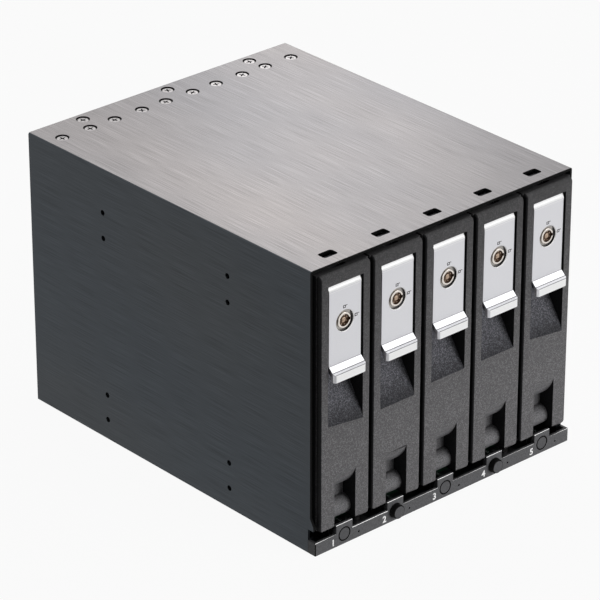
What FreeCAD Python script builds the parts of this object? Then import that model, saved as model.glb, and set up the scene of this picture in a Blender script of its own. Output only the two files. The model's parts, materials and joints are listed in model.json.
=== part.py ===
import FreeCAD, Part
import math
import os
import re
import Sketcher

# Hot swap drive cage: five sliding trays in a folded sheet metal case, with a
# backplane and a fan behind them and a row of power buttons below them.
#
# Row frame: millimetres, +X right, +Y back, +Z up, origin at the centre of the
# case's bottom face. Pieces are drawn with y = 0 at the case's front edge, and
# a tray with x = 0 at its own middle; their Placement moves them into the row.

SIZES = {
    # How far cuts run past a face, and joined forms reach into each other
    "CutPast": 1.0,
    "Bite": 0.1,
    # Case
    "CageWidth": 146.0,
    "CageHeight": 127.8,
    "CageDepth": 178.0,
    "SheetWall": 1.2,
    "BendRadius": 1.0,
    "FloorFlange": 6.3,
    "FloorPlay": 0.1,
    "CurlProud": 2.0,
    "CurlFoot": 11.0,
    "CurlHeight": 5.5,
    # Side mounting holes
    "SideHoleRadius": 1.25,
    "SideHoleFront": 49.8,
    "SideHoleSpacing": 79.25,
    "SideHoleLow": 9.5,
    "SideHoleHigh": 95.7,
    "SideHolePair": 11.9,
    # Countersunk case screws
    "ScrewRadius": 1.5,
    "ScrewHeadRadius": 3.0,
    "ScrewLength": 5.5,
    "ScrewPlay": 0.05,
    "GuideScrewInset": 13.6,
    "GuideScrewSpacing": 15.1,
    "GuideScrewShift": 0.9,
    "PanelScrewInset": 4.7,
    "PanelScrewSpacing": 47.1,
    # Tray bezel
    "TrayPitch": 28.5,
    "BezelWidth": 26.9,
    "BezelFoot": 9.7,
    "Headroom": 1.3,
    "BezelProud": 3.4,
    "BezelBack": 11.0,
    "BezelWall": 1.8,
    "BezelStep": 0.3,
    "BezelStepProud": 1.0,
    "BezelEdge": 1.0,
    "BezelBrow": 2.0,
    "BezelCorner": 1.5,
    "PocketWidth": 18.9,
    "PocketDepth": 7.8,
    "ScoopLength": 20.7,
    "ScoopSlope": 57.0,
    "ScoopDepth": 12.0,
    "ScoopRoof": 2.5,
    "NotchWidth": 11.6,
    "NotchHeight": 23.8,
    "NotchDepth": 7.6,
    "NotchThroat": 14.2,
    "NotchBrow": 15.0,
    "NotchBrowDrop": 5.9,
    "NotchBrowSink": 2.1,
    "RollRadius": 4.4,
    "RollSink": 7.2,
    "RollFoot": 0.5,
    "BossRadius": 2.6,
    "BossLow": 35.3,
    "BossHigh": 22.0,
    # Lever, its pin and its leaf spring
    "LeverWidth": 17.3,
    "LeverProud": 2.9,
    "LeverThick": 2.0,
    "LeverLength": 38.9,
    "PivotDrop": 8.3,
    "PivotProud": 0.5,
    "BarrelRadius": 2.4,
    "BarrelCorner": 2.8,
    "BarrelCornerTurn": 35.0,
    "BarrelPlay": 0.3,
    "PinRadius": 1.0,
    "PinPlay": 0.04,
    "PinSeat": 2.0,
    "LipProud": 6.6,
    "LipHeight": 3.3,
    "LipThick": 2.0,
    "LipCorner": 1.4,
    "LedgeProud": 5.1,
    "LedgeRise": 0.8,
    "HookWidth": 6.0,
    "HookPlay": 0.4,
    "HookThick": 2.4,
    "HookInset": 1.2,
    "HookChannel": 6.5,
    "WindowWidth": 7.5,
    "WindowDepth": 4.7,
    "WindowInset": 7.5,
    "SpringInset": 1.0,
    "SpringThick": 0.4,
    "SpringWidth": 4.0,
    "SpringLength": 13.0,
    # Cam lock
    "LockDrop": 14.8,
    "LockMouth": 4.6,
    "LockSink": 1.2,
    "LockBossRadius": 5.2,
    "LockBossLength": 3.3,
    "PlugRadius": 3.4,
    "PlugPlay": 0.05,
    "PlugRise": 0.85,
    "KeyRingRadius": 2.6,
    "KeyPostRadius": 1.5,
    "KeyDepth": 1.5,
    "KeySlot": 1.2,
    "CamLength": 7.2,
    "CamWidth": 4.0,
    "CamThick": 1.0,
    "KeeperHeight": 7.0,
    "KeeperThick": 1.0,
    "KeeperPlay": 0.3,
    # Drive carrier, for a 3.5 inch drive standing on its long side
    "CarrierWall": 0.9,
    "CarrierRise": 1.3,
    "CarrierDrop": 1.1,
    "CarrierPlay": 0.4,
    "CarrierFlange": 20.0,
    "CarrierBack": 160.5,
    "DrivePlay": 0.1,
    "DriveThick": 26.1,
    "DriveWidth": 101.6,
    "DriveLength": 147.0,
    "DriveFront": 14.5,
    "DriveHoleRadius": 1.8,
    "DriveHoleInset": 41.3,
    "DriveHoleStep": 44.45,
    "DriveHoleSpacing": 95.25,
    "VentWidth": 19.0,
    "VentHeight": 34.0,
    "VentGap": 19.0,
    "VentStep": 49.0,
    "VentFront": 29.0,
    "TrayScrewRadius": 1.2,
    "TrayScrewHead": 4.4,
    "TrayScrewHeadThick": 1.3,
    "TrayScrewLength": 4.5,
    # Guides
    "GuideFront": 13.8,
    "GuidePlate": 2.0,
    "GuideRib": 4.4,
    "GuidePlay": 0.3,
    "GuideLeg": 1.5,
    "GuideBar": 5.2,
    "HoleRelief": 2.4,
    "ReliefDepth": 3.0,
    # Front rail, buttons and their board
    "RailProud": 3.3,
    "RailWall": 1.4,
    "RailHeight": 5.9,
    "RailReach": 1.2,
    "TabWidth": 8.9,
    "TabHeight": 9.85,
    "ButtonHeight": 4.65,
    "ButtonHole": 3.3,
    "ButtonPlay": 0.2,
    "ButtonTravel": 2.5,
    "ButtonShaft": 5.6,
    "ButtonFlange": 0.5,
    "ButtonStem": 2.2,
    "ButtonLength": 13.6,
    "CollarWall": 0.8,
    "CollarLength": 1.5,
    "LampOffset": 8.0,
    "LampHeight": 2.6,
    "LampRadius": 0.4,
    "LampPlay": 0.06,
    "LampSink": 1.0,
    "LugWidth": 8.0,
    "LugLength": 9.0,
    "LugThick": 1.6,
    "LugScrew": 5.0,
    "SwitchFront": 6.2,
    "SwitchSize": 6.8,
    "SwitchLength": 5.3,
    "SwitchWall": 0.4,
    "BoardThick": 1.6,
    "SwitchBoardWidth": 134.0,
    "SwitchBoardHeight": 7.2,
    # Backplane and rear panel
    "BackplaneGap": 8.4,
    "BackplaneWidth": 138.0,
    "BackplaneMargin": 3.0,
    "BackplanePlay": 0.6,
    "SlotWidth": 6.4,
    "SlotMargin": 14.0,
    "DriveSocketLength": 42.0,
    "DriveSocketThick": 6.8,
    "DriveSocketDepth": 6.3,
    "DriveSocketDrop": 13.0,
    "DriveSocketInset": 5.2,
    "SocketEnd": 2.5,
    "SocketDataSlot": 11.8,
    "SocketKey": 2.5,
    "SocketSlotWidth": 2.7,
    "SocketSlotDepth": 5.0,
    "SpacerAcross": 5.0,
    "SpacerHead": 1.2,
    "SpacerSpread": 64.0,
    "SpacerMargin": 12.0,
    "PanelFlange": 7.5,
    "PortWidth": 17.0,
    "PortHeight": 7.0,
    "PortPlace": 52.0,
    "PortLow": 15.0,
    "PortStep": 12.0,
    "PortProud": 0.6,
    "PortPlay": 0.4,
    "PortSlotWidth": 10.2,
    "PortSlotHeight": 1.8,
    "PortSlotDepth": 6.0,
    "PortKeyWidth": 1.7,
    "PortKeyDrop": 1.3,
    "PowerWidth": 22.0,
    "PowerHeight": 9.0,
    "PowerPlace": 52.0,
    "PowerLow": 84.0,
    "PowerStep": 15.0,
    "PowerWall": 1.2,
    "PowerDepth": 8.0,
    "PowerPin": 1.8,
    "PowerPinStep": 5.08,
    "PowerPinSink": 1.5,
    # Fan
    "FanSize": 80.0,
    "FanThick": 25.0,
    "FanPlace": -6.0,
    "FanHeight": 64.0,
    "FanBore": 38.0,
    "FanFlange": 4.0,
    "FanBarrel": 39.6,
    "FanHoleSpacing": 71.5,
    "FanScrewRadius": 2.1,
    "FanScrewHead": 3.8,
    "FanScrewHeadThick": 2.4,
    "FanCorner": 4.0,
    "HubRadius": 17.0,
    "HubThick": 2.5,
    "StrutWidth": 3.0,
    "ShaftRadius": 1.5,
    "ShaftPlay": 0.05,
    "ShaftSeat": 6.0,
    "RotorPlay": 0.6,
    "BladeReach": 35.6,
    "BladeChord": 20.0,
    "BladeThick": 1.6,
    "BladePitch": 48.0,
    "BladeTwist": 14.0,
    "GuardWire": 1.6,
    "GuardRing": 8.0,
    "GuardEye": 4.0,
}

TRAYS = (1, 2, 3, 4, 5)
MIDDLE_TRAY = 3
PRESSED_BUTTONS = (1, 3, 5)
FLOOR_SCREW_TRAYS = (1, 3, 5)
VENT_COLUMNS = 3
POWER_SOCKETS = 2
BLADES = 7
GUARD_RINGS = (1, 2.5, 4)

# Places that several pieces share, as rules on the sizes
INNER_TOP = "(CageHeight - SheetWall)"
INNER_SIDE = "(CageWidth / 2 - SheetWall)"
PANEL_FACE = "(CageDepth - SheetWall)"
BEZEL_TOP = "(CageHeight - SheetWall - Headroom)"
BEZEL_FACE = "(-BezelProud)"
PIVOT_Y = "(-PivotProud)"
PIVOT_Z = f"({BEZEL_TOP} - PivotDrop)"
LEVER_BACK = "(LeverThick - LeverProud)"
LEVER_FOOT = f"({PIVOT_Z} - LeverLength)"
LIP_TOP = f"({LEVER_FOOT} + LipHeight)"
LEVER_BEND = f"({LEVER_FOOT} + LipHeight + LedgeRise + LedgeProud - LeverProud)"
LOCK_Z = f"({PIVOT_Z} - LockDrop)"
LOCK_FLOOR = "(LockSink - LeverProud)"
POCKET_TOP = f"({PIVOT_Z} + BarrelCorner + BarrelPlay)"
POCKET_BACK = "(PocketDepth - BezelProud)"
SCOOP_BACK = "(ScoopDepth - BezelProud)"
SCOOP_FOOT = f"({LEVER_FOOT} - ScoopLength)"
SCOOP_RISE = "tan(ScoopSlope * 1deg)"
SCOOP_ROOF = f"({LEVER_BEND} + ScoopRoof)"
NOTCH_TOP = "(BezelFoot + NotchHeight)"
NOTCH_BACK = "(NotchDepth - BezelProud)"
NOTCH_THROAT = "(BezelFoot + NotchThroat)"
LOW_BOSS_Z = "(BezelFoot + BossLow)"
HIGH_BOSS_Z = f"({PIVOT_Z} - BossHigh)"
HOOK_TOP = f"({INNER_TOP} - HookPlay)"
CAM_FRONT = f"({LEVER_BACK} + LockBossLength + PlugPlay)"
WEB_OUTER = "(-(DriveThick + DrivePlay + CarrierWall) / 2)"
WEB_INNER = f"({WEB_OUTER} + CarrierWall)"
CARRIER_FOOT = "(BezelFoot + CarrierRise)"
CARRIER_TOP = f"({BEZEL_TOP} - CarrierDrop)"
DRIVE_MIDDLE = f"(({CARRIER_FOOT} + {CARRIER_TOP}) / 2)"
DRIVE_BACK = "(DriveFront + DriveLength)"
UPPER_DECK = f"({CARRIER_TOP} + CarrierPlay)"
LOWER_DECK = f"({CARRIER_FOOT} - CarrierPlay)"
RIB_NEAR = f"({WEB_OUTER} + CarrierFlange + GuidePlay)"
RIB_FAR = f"(TrayPitch + {WEB_OUTER} - GuidePlay)"
GUIDE_SCREW_Y = "(CageDepth - GuideScrewInset)"
PANEL_SCREW_Y = "(CageDepth - PanelScrewInset)"
BACKPLANE_BACK = "(CageDepth - BackplaneGap)"
BACKPLANE_FRONT = f"({BACKPLANE_BACK} - BoardThick)"
GUIDE_BACK = f"({BACKPLANE_FRONT} - BackplanePlay)"
FAN_BACK = "(CageDepth + FanThick)"

doc = FreeCAD.newDocument("drive_cage")
sheet = doc.addObject("Spreadsheet::Sheet", "Sizes")
for row, (alias, number) in enumerate(SIZES.items(), start=1):
    sheet.set(f"A{row}", alias)
    sheet.set(f"B{row}", str(number))
    sheet.setAlias(f"B{row}", alias)
doc.recompute()

subparts = []


# Rules and placing

def rule(text):
    """Point each size named in a rule at its cell in the sheet."""
    return re.sub(r"\b[A-Z]\w+", r"Sizes.\g<0>", str(text))


def bind(thing, place, text):
    thing.setExpression(place, rule(text))


def tray_shift(number):
    """Rule for the middle of a tray across the case."""
    return f"({number - MIDDLE_TRAY} * TrayPitch)"


def subpart(thing, label, x="0"):
    """Name a finished piece and move it from the drawing frame to the row's."""
    thing.Label = label
    bind(thing, "Placement.Base.x", x)
    bind(thing, "Placement.Base.y", "-CageDepth / 2")
    subparts.append(thing)
    return thing


def repeat_in_trays(master, name):
    """Link copies of the middle tray's piece into the other trays."""
    for number in TRAYS:
        if number == MIDDLE_TRAY:
            subpart(master, f"{name}_{number}", tray_shift(number))
        else:
            link = doc.addObject("App::Link", f"{name}_{number}")
            link.LinkedObject = master
            subpart(link, f"{name}_{number}", tray_shift(number))


# Part primitives and booleans

AXIS_TURNS = {
    "x": FreeCAD.Rotation(FreeCAD.Vector(0, 1, 0), 90),
    "y": FreeCAD.Rotation(FreeCAD.Vector(1, 0, 0), -90),
    "z": FreeCAD.Rotation(),
}


def block(x, y, z):
    """Box between a low and a high rule on each axis."""
    box = doc.addObject("Part::Box", "Block")
    for side, axis, (low, high) in (("Length", "x", x), ("Width", "y", y), ("Height", "z", z)):
        bind(box, side, f"({high}) - ({low})")
        bind(box, f"Placement.Base.{axis}", low)
    return box


def rod(axis, along, at, radius, end_radius=None):
    """Cylinder along an axis, or a cone where it ends in another radius."""
    low, high = along
    across = [name for name in "xyz" if name != axis]
    if end_radius is None:
        piece = doc.addObject("Part::Cylinder", "Rod")
        bind(piece, "Radius", radius)
    else:
        piece = doc.addObject("Part::Cone", "Taper")
        bind(piece, "Radius1", radius)
        bind(piece, "Radius2", end_radius)
    bind(piece, "Height", f"({high}) - ({low})")
    piece.Placement.Rotation = AXIS_TURNS[axis]
    bind(piece, f"Placement.Base.{axis}", low)
    for name, place in zip(across, at):
        bind(piece, f"Placement.Base.{name}", place)
    return piece


def hex_bar(along, at, across_flats):
    """Six sided bar along Y."""
    low, high = along
    piece = doc.addObject("Part::Prism", "HexBar")
    piece.Polygon = 6
    bind(piece, "Circumradius", f"({across_flats}) / 2 / cos(30deg)")
    bind(piece, "Height", f"({high}) - ({low})")
    piece.Placement.Rotation = AXIS_TURNS["y"]
    bind(piece, "Placement.Base.y", low)
    for name, place in zip("xz", at):
        bind(piece, f"Placement.Base.{name}", place)
    return piece


def fused(*pieces):
    joined = doc.addObject("Part::MultiFuse", "Fused")
    joined.Shapes = list(pieces)
    return joined


def without(base, *tools):
    cut = doc.addObject("Part::Cut", "Without")
    cut.Base = base
    cut.Tool = tools[0] if len(tools) == 1 else fused(*tools)
    return cut


def group(pieces):
    """Like pieces that stay separate solids in one node."""
    compound = doc.addObject("Part::Compound", "Group")
    compound.Links = list(pieces)
    return compound


# Sketched features

# Plane name, and which way its normal points along the remaining axis
PLANES = {"XY": ("XY_Plane", 1), "XZ": ("XZ_Plane", -1), "YZ": ("YZ_Plane", 1)}


def new_body(name):
    return doc.addObject("PartDesign::Body", name)


def rectangle(across, up):
    (left, right), (low, high) = across, up
    return [(left, low), (right, low), (right, high), (left, high)]


def circle(across, up, radius):
    return (across, up, radius)


def new_sketch(body, plane, level):
    """Empty sketch on one of the body's own planes, moved to a level."""
    role, sense = PLANES[plane]
    sketch = body.newObject("Sketcher::SketchObject", "Outline")
    support = [part for part in body.Origin.OriginFeatures if part.Role == role][0]
    sketch.AttachmentSupport = (support, [""])
    sketch.MapMode = "FlatFace"
    bind(sketch, "AttachmentOffset.Base.z", f"{sense} * ({level})")
    return sketch


def tie(sketch, kind, *where, to):
    number = sketch.addConstraint(Sketcher.Constraint(kind, *where, 1.0))
    bind(sketch, f"Constraints[{number}]", to)


def draw_corners(sketch, corners):
    """Closed outline of straight lines, each corner tied to its two rules."""
    first, count = sketch.GeometryCount, len(corners)
    steps = [2 * math.pi * step / count for step in range(count + 1)]
    points = [FreeCAD.Vector(math.cos(turn), math.sin(turn), 0) for turn in steps]
    for start, end in zip(points, points[1:]):
        sketch.addGeometry(Part.LineSegment(start, end))
    for index, (across, up) in enumerate(corners):
        line = first + index
        following = first + (index + 1) % count
        sketch.addConstraint(Sketcher.Constraint("Coincident", line, 2, following, 1))
        tie(sketch, "DistanceX", -1, 1, line, 1, to=across)
        tie(sketch, "DistanceY", -1, 1, line, 1, to=up)


def draw_circle(sketch, across, up, radius):
    middle = FreeCAD.Vector(1, 1, 0)
    line = sketch.addGeometry(Part.Circle(middle, FreeCAD.Vector(0, 0, 1), 1))
    tie(sketch, "DistanceX", -1, 1, line, 3, to=across)
    tie(sketch, "DistanceY", -1, 1, line, 3, to=up)
    tie(sketch, "Radius", line, to=radius)


def draw(body, plane, level, outlines):
    sketch = new_sketch(body, plane, level)
    for outline in outlines:
        if isinstance(outline, list):
            draw_corners(sketch, outline)
        else:
            draw_circle(sketch, *outline)
    return sketch


def pad(body, plane, along, *outlines):
    """Add the outlines' material between two rules along the plane's normal."""
    low, high = along
    level = low if PLANES[plane][1] > 0 else high
    feature = body.newObject("PartDesign::Pad", "Pad")
    feature.Profile = draw(body, plane, level, outlines)
    bind(feature, "Length", f"({high}) - ({low})")
    body.Tip = feature
    return feature


def pocket(body, plane, along, *outlines):
    """Cut the outlines out between two rules along the plane's normal."""
    low, high = along
    level = high if PLANES[plane][1] > 0 else low
    feature = body.newObject("PartDesign::Pocket", "Pocket")
    feature.Profile = draw(body, plane, level, outlines)
    bind(feature, "Length", f"({high}) - ({low})")
    body.Tip = feature
    return feature


def row_pattern(body, feature, step, copies):
    """Repeat a feature along X, one step apart."""
    pattern = body.newObject("PartDesign::LinearPattern", "RowPattern")
    pattern.Originals = [feature]
    axis = [part for part in body.Origin.OriginFeatures if part.Role == "X_Axis"][0]
    pattern.Direction = (axis, [""])
    bind(pattern, "Length", f"({step}) * {copies - 1}")
    pattern.Occurrences = copies
    body.Tip = pattern
    return pattern


def runs_along(edge, axis):
    if not isinstance(edge.Curve, (Part.Line, Part.LineSegment)):
        return False
    box = edge.BoundBox
    reach = {"x": box.XLength, "y": box.YLength, "z": box.ZLength}
    return reach[axis] > 0.999 * edge.Length


def edge_middles(shape):
    return {tuple(round(number, 3) for number in edge.CenterOfMass) for edge in shape.Edges}


def soften(body, kind, size, along, chosen=None):
    """Fillet or chamfer the straight edges along an axis that pass the choice.

    With no choice, they are the edges that the body's last feature made.
    """
    doc.recompute()
    last = body.Tip
    if chosen is None:
        before = edge_middles(last.BaseFeature.Shape) if last.BaseFeature else set()

        def chosen(middle, box):
            return tuple(round(number, 3) for number in middle) not in before
    names = []
    for index, edge in enumerate(last.Shape.Edges, start=1):
        if runs_along(edge, along) and chosen(edge.CenterOfMass, last.Shape.BoundBox):
            names.append(f"Edge{index}")
    feature = body.newObject(f"PartDesign::{kind}", kind)
    feature.Base = (last, names)
    bind(feature, "Radius" if kind == "Fillet" else "Size", size)
    body.Tip = feature
    return feature


def near(number, limit):
    return abs(number - limit) < 0.01


# Case

def guide_screw_places(side):
    """Across and back rules of the screws that hold a guide to its sheet."""
    if side == "bottom":
        return [(tray_shift(number), GUIDE_SCREW_Y) for number in FLOOR_SCREW_TRAYS]
    return [(f"({tray_shift(number)} - GuideScrewShift + {end} * GuideScrewSpacing / 2)", GUIDE_SCREW_Y)
            for number in TRAYS for end in (-1, 1)]


def panel_screw_places():
    """Across and back rules of the screws that hold the rear panel's flanges."""
    return [(f"{side} * PanelScrewSpacing", PANEL_SCREW_Y) for side in (-1, 0, 1)]


def lug_places():
    """Across and back rules of the screws that hold the front rail's lugs."""
    return [(f"{side} * 1.5 * TrayPitch", "LugScrew") for side in (-1, 1)]


def screw_places(side):
    places = guide_screw_places(side) + panel_screw_places()
    return places + (lug_places() if side == "bottom" else [])


def countersunk(place, side, play="0", above=None):
    """Screw whose cone fills the sheet, or, with a play and room above, its hole."""
    wide, narrow = f"ScrewHeadRadius + {play}", f"ScrewRadius + {play}"
    if side == "top":
        head = rod("z", (INNER_TOP, "CageHeight"), place, narrow, wide)
        shank, room = ("CageHeight - ScrewLength", INNER_TOP), ("CageHeight", f"CageHeight + {above}")
    else:
        head = rod("z", ("0", "SheetWall"), place, wide, narrow)
        shank, room = ("SheetWall", "ScrewLength"), (f"-{above}", "0")
    pieces = [head, rod("z", shank, place, narrow)]
    if above:
        pieces.append(rod("z", room, place, wide))
    return fused(*pieces)


def drilled(body, side):
    """Cut the case screws' holes through a sheet."""
    holes = [countersunk(place, side, "ScrewPlay", "CutPast") for place in screw_places(side)]
    return without(body, *holes)


def make_shell_cover():
    """Top and both sides, folded from one sheet."""
    body = new_body("cover_sheet")
    half, inner = "CageWidth / 2", INNER_SIDE
    pad(body, "XZ", ("0", "CageDepth"), [
        (f"-{half}", "0"), (f"-{half}", "CageHeight"), (half, "CageHeight"), (half, "0"),
        (inner, "0"), (inner, INNER_TOP), (f"-{inner}", INNER_TOP), (f"-{inner}", "0")])
    soften(body, "Fillet", "BendRadius", "y", lambda at, box: near(at.z, box.ZMax))
    # Windows over the levers' hooks
    windows = []
    for number in TRAYS:
        middle = tray_shift(number)
        windows.append(rectangle(
            (f"{middle} - WindowWidth / 2", f"{middle} + WindowWidth / 2"),
            ("WindowInset - WindowDepth / 2", "WindowInset + WindowDepth / 2")))
    pocket(body, "XY", (f"{INNER_TOP} - CutPast", "CageHeight + CutPast"), *windows)
    # Mounting holes through both sides
    across = (f"-{half} - CutPast", f"{half} + CutPast")
    holes = []
    for row in ("SideHoleLow", "SideHoleHigh"):
        for rise in ("0", "SideHolePair"):
            for step in ("0", "SideHoleSpacing"):
                holes.append(circle(f"SideHoleFront + {step}", f"{row} + {rise}", "SideHoleRadius"))
    pocket(body, "YZ", across, *holes)
    # The sides' front edges curl forward over the rail's ends, then stop short of them
    curl = [("Bite", "CurlFoot - Bite"), ("-CurlProud", "CurlFoot - Bite"),
            ("-CurlProud", "CurlFoot + CurlHeight / 3"), ("Bite", "CurlFoot + CurlHeight")]
    pad(body, "YZ", (f"-{half}", f"-{inner}"), curl)
    pad(body, "YZ", (inner, half), curl)
    pocket(body, "YZ", across, rectangle(("-CurlProud - CutPast", "RailReach"), ("-CutPast", "CurlFoot")))
    return drilled(body, "top")


def make_bottom_plate():
    """Floor sheet with a low flange up each side."""
    body = new_body("floor_sheet")
    half = f"({INNER_SIDE} - FloorPlay)"
    lip = f"({half} - SheetWall)"
    pad(body, "XZ", ("0", PANEL_FACE), [
        (f"-{half}", "FloorFlange"), (f"-{half}", "0"), (half, "0"), (half, "FloorFlange"),
        (lip, "FloorFlange"), (lip, "SheetWall"), (f"-{lip}", "SheetWall"), (f"-{lip}", "FloorFlange")])
    pocket(body, "XZ", ("-CutPast", "RailReach + FloorPlay"),
           rectangle((f"-{half} - CutPast", f"{half} + CutPast"), ("SheetWall", "FloorFlange + CutPast")))
    return drilled(body, "bottom")


def make_case():
    subpart(make_shell_cover(), "shell_cover")
    subpart(make_bottom_plate(), "bottom_plate")
    screws = [countersunk(place, side) for side in ("top", "bottom") for place in screw_places(side)]
    subpart(group(screws), "case_screws")


# Trays

def make_bezel():
    body = new_body("bezel")
    half = "BezelWidth / 2"
    wide = f"({half} + BezelStep)"
    pad(body, "XZ", (BEZEL_FACE, "0"), rectangle((f"-{half}", half), ("BezelFoot", BEZEL_TOP)))
    soften(body, "Fillet", "BezelCorner", "y", lambda at, box: near(at.z, box.ZMin))
    soften(body, "Fillet", "BezelBrow", "x",
           lambda at, box: near(at.y, box.YMin) and near(at.z, box.ZMax))
    soften(body, "Fillet", "BezelEdge", "z", lambda at, box: near(at.y, box.YMin))
    pad(body, "XZ", ("-BezelStepProud", "BezelBack"),
        rectangle((f"-{wide}", wide), ("BezelFoot", BEZEL_TOP)))
    soften(body, "Fillet", "BezelCorner", "y",
           lambda at, box: near(at.z, box.ZMin) and near(abs(at.x), box.XMax))
    # Open back
    inside = f"({wide} - BezelWall)"
    pocket(body, "XZ", (f"{BEZEL_FACE} + BezelWall", "BezelBack + CutPast"),
           rectangle((f"-{inside}", inside), ("BezelFoot + BezelWall", f"{BEZEL_TOP} - BezelWall")))
    # Walls round the lever's pocket and the finger scoop
    scoop_corner = f"({SCOOP_FOOT} + ScoopDepth * {SCOOP_RISE})"
    front = f"{BEZEL_FACE} / 2"
    tub = f"({inside} + BezelWall / 2)"
    pad(body, "YZ", (f"-{tub}", tub), [
        (front, f"{SCOOP_FOOT} - BezelWall"),
        (f"{SCOOP_BACK} + BezelWall", f"{scoop_corner} - BezelWall"),
        (f"{SCOOP_BACK} + BezelWall", f"{SCOOP_ROOF} + BezelWall"),
        (f"{POCKET_BACK} + BezelWall", f"{SCOOP_ROOF} + 2 * BezelWall"),
        (f"{POCKET_BACK} + BezelWall", f"{POCKET_TOP} + BezelWall"),
        (front, f"{POCKET_TOP} + BezelWall")])
    # Walls round the foot notch, and the screw bosses
    cheek = "(NotchWidth / 2 + BezelWall)"
    pad(body, "YZ", (f"-{cheek}", cheek), [
        (front, "BezelFoot"), (f"{NOTCH_BACK} + BezelWall", "BezelFoot"),
        (f"{NOTCH_BACK} + BezelWall", f"{NOTCH_THROAT} + BezelWall"),
        (f"{BEZEL_FACE} + NotchBrowSink + BezelWall", f"{NOTCH_TOP} - NotchBrowDrop + 2 * BezelWall"),
        (front, f"{NOTCH_TOP} + BezelWall")])
    for height, root in ((LOW_BOSS_Z, front), (HIGH_BOSS_Z, POCKET_BACK)):
        pad(body, "XZ", (root, "BezelBack"), circle("0", height, "BossRadius"))
    # Lever pocket and finger scoop in one profile
    barrel_back = f"({PIVOT_Y} + BarrelCorner + BarrelPlay)"
    pocket(body, "YZ", ("-PocketWidth / 2", "PocketWidth / 2"), [
        (f"{BEZEL_FACE} - CutPast", f"{SCOOP_FOOT} - {SCOOP_RISE}"),
        (SCOOP_BACK, scoop_corner),
        (SCOOP_BACK, SCOOP_ROOF),
        (POCKET_BACK, f"{SCOOP_ROOF} + BezelWall"),
        (POCKET_BACK, f"{PIVOT_Z} - BarrelCorner"),
        (barrel_back, f"{PIVOT_Z} - BarrelCorner / 2"),
        (barrel_back, f"{PIVOT_Z} + BarrelCorner / 2"),
        (f"{PIVOT_Y} + BarrelCorner / 2", POCKET_TOP),
        (f"{BEZEL_FACE} - CutPast", POCKET_TOP)])
    # Channel for the hook, open at the top and the back
    channel = "(HookWidth / 2 + HookPlay)"
    pocket(body, "YZ", (f"-{channel}", channel), rectangle(
        (f"{PIVOT_Y} + CutPast", "BezelBack + CutPast"),
        (f"{PIVOT_Z} - HookChannel", f"{BEZEL_TOP} + CutPast")))
    # Foot notch with its overhanging brow, and the finger roll across it
    pocket(body, "YZ", ("-NotchWidth / 2", "NotchWidth / 2"), [
        (f"{BEZEL_FACE} - CutPast", "BezelFoot - CutPast"),
        ("BezelBack + CutPast", "BezelFoot - CutPast"),
        ("BezelBack + CutPast", "BezelFoot + RollFoot"),
        (NOTCH_BACK, "BezelFoot + RollFoot"),
        (NOTCH_BACK, NOTCH_THROAT),
        (f"{BEZEL_FACE} + NotchBrowSink", f"{NOTCH_TOP} - NotchBrowDrop"),
        (BEZEL_FACE, NOTCH_TOP),
        (f"{BEZEL_FACE} - CutPast", NOTCH_TOP)])
    soften(body, "Fillet", "NotchBrow", "x", lambda at, box: (
        SIZES["NotchThroat"] + 1 < at.z - box.ZMin < SIZES["NotchHeight"] - 1 and abs(at.x) < 1
        and at.y < 0))
    pad(body, "YZ", (f"-{cheek} + BezelWall / 2", f"{cheek} - BezelWall / 2"),
        circle("RollSink - BezelProud", "BezelFoot + RollFoot + RollRadius", "RollRadius"))
    # Bores for the hinge pin and the screws
    pocket(body, "YZ", ("-PocketWidth / 2 - PinSeat", f"{wide} + CutPast"),
           circle(PIVOT_Y, PIVOT_Z, "PinRadius + PinPlay"))
    pilots = [circle("0", height, "TrayScrewRadius + PinPlay") for height in (LOW_BOSS_Z, HIGH_BOSS_Z)]
    pocket(body, "XZ", ("BezelBack - TrayScrewLength", "BezelBack + CutPast"), *pilots)
    # Keeper that the locked cam bears on
    keeper_back = f"({CAM_FRONT} - KeeperPlay)"
    pad(body, "XZ", (f"{keeper_back} - KeeperThick", keeper_back), rectangle(
        ("LockBossRadius + 2 * KeeperPlay", "PocketWidth / 2 + BezelWall / 2"),
        (f"{LOCK_Z} - KeeperHeight / 2", f"{LOCK_Z} + KeeperHeight / 2")))
    return body


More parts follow.
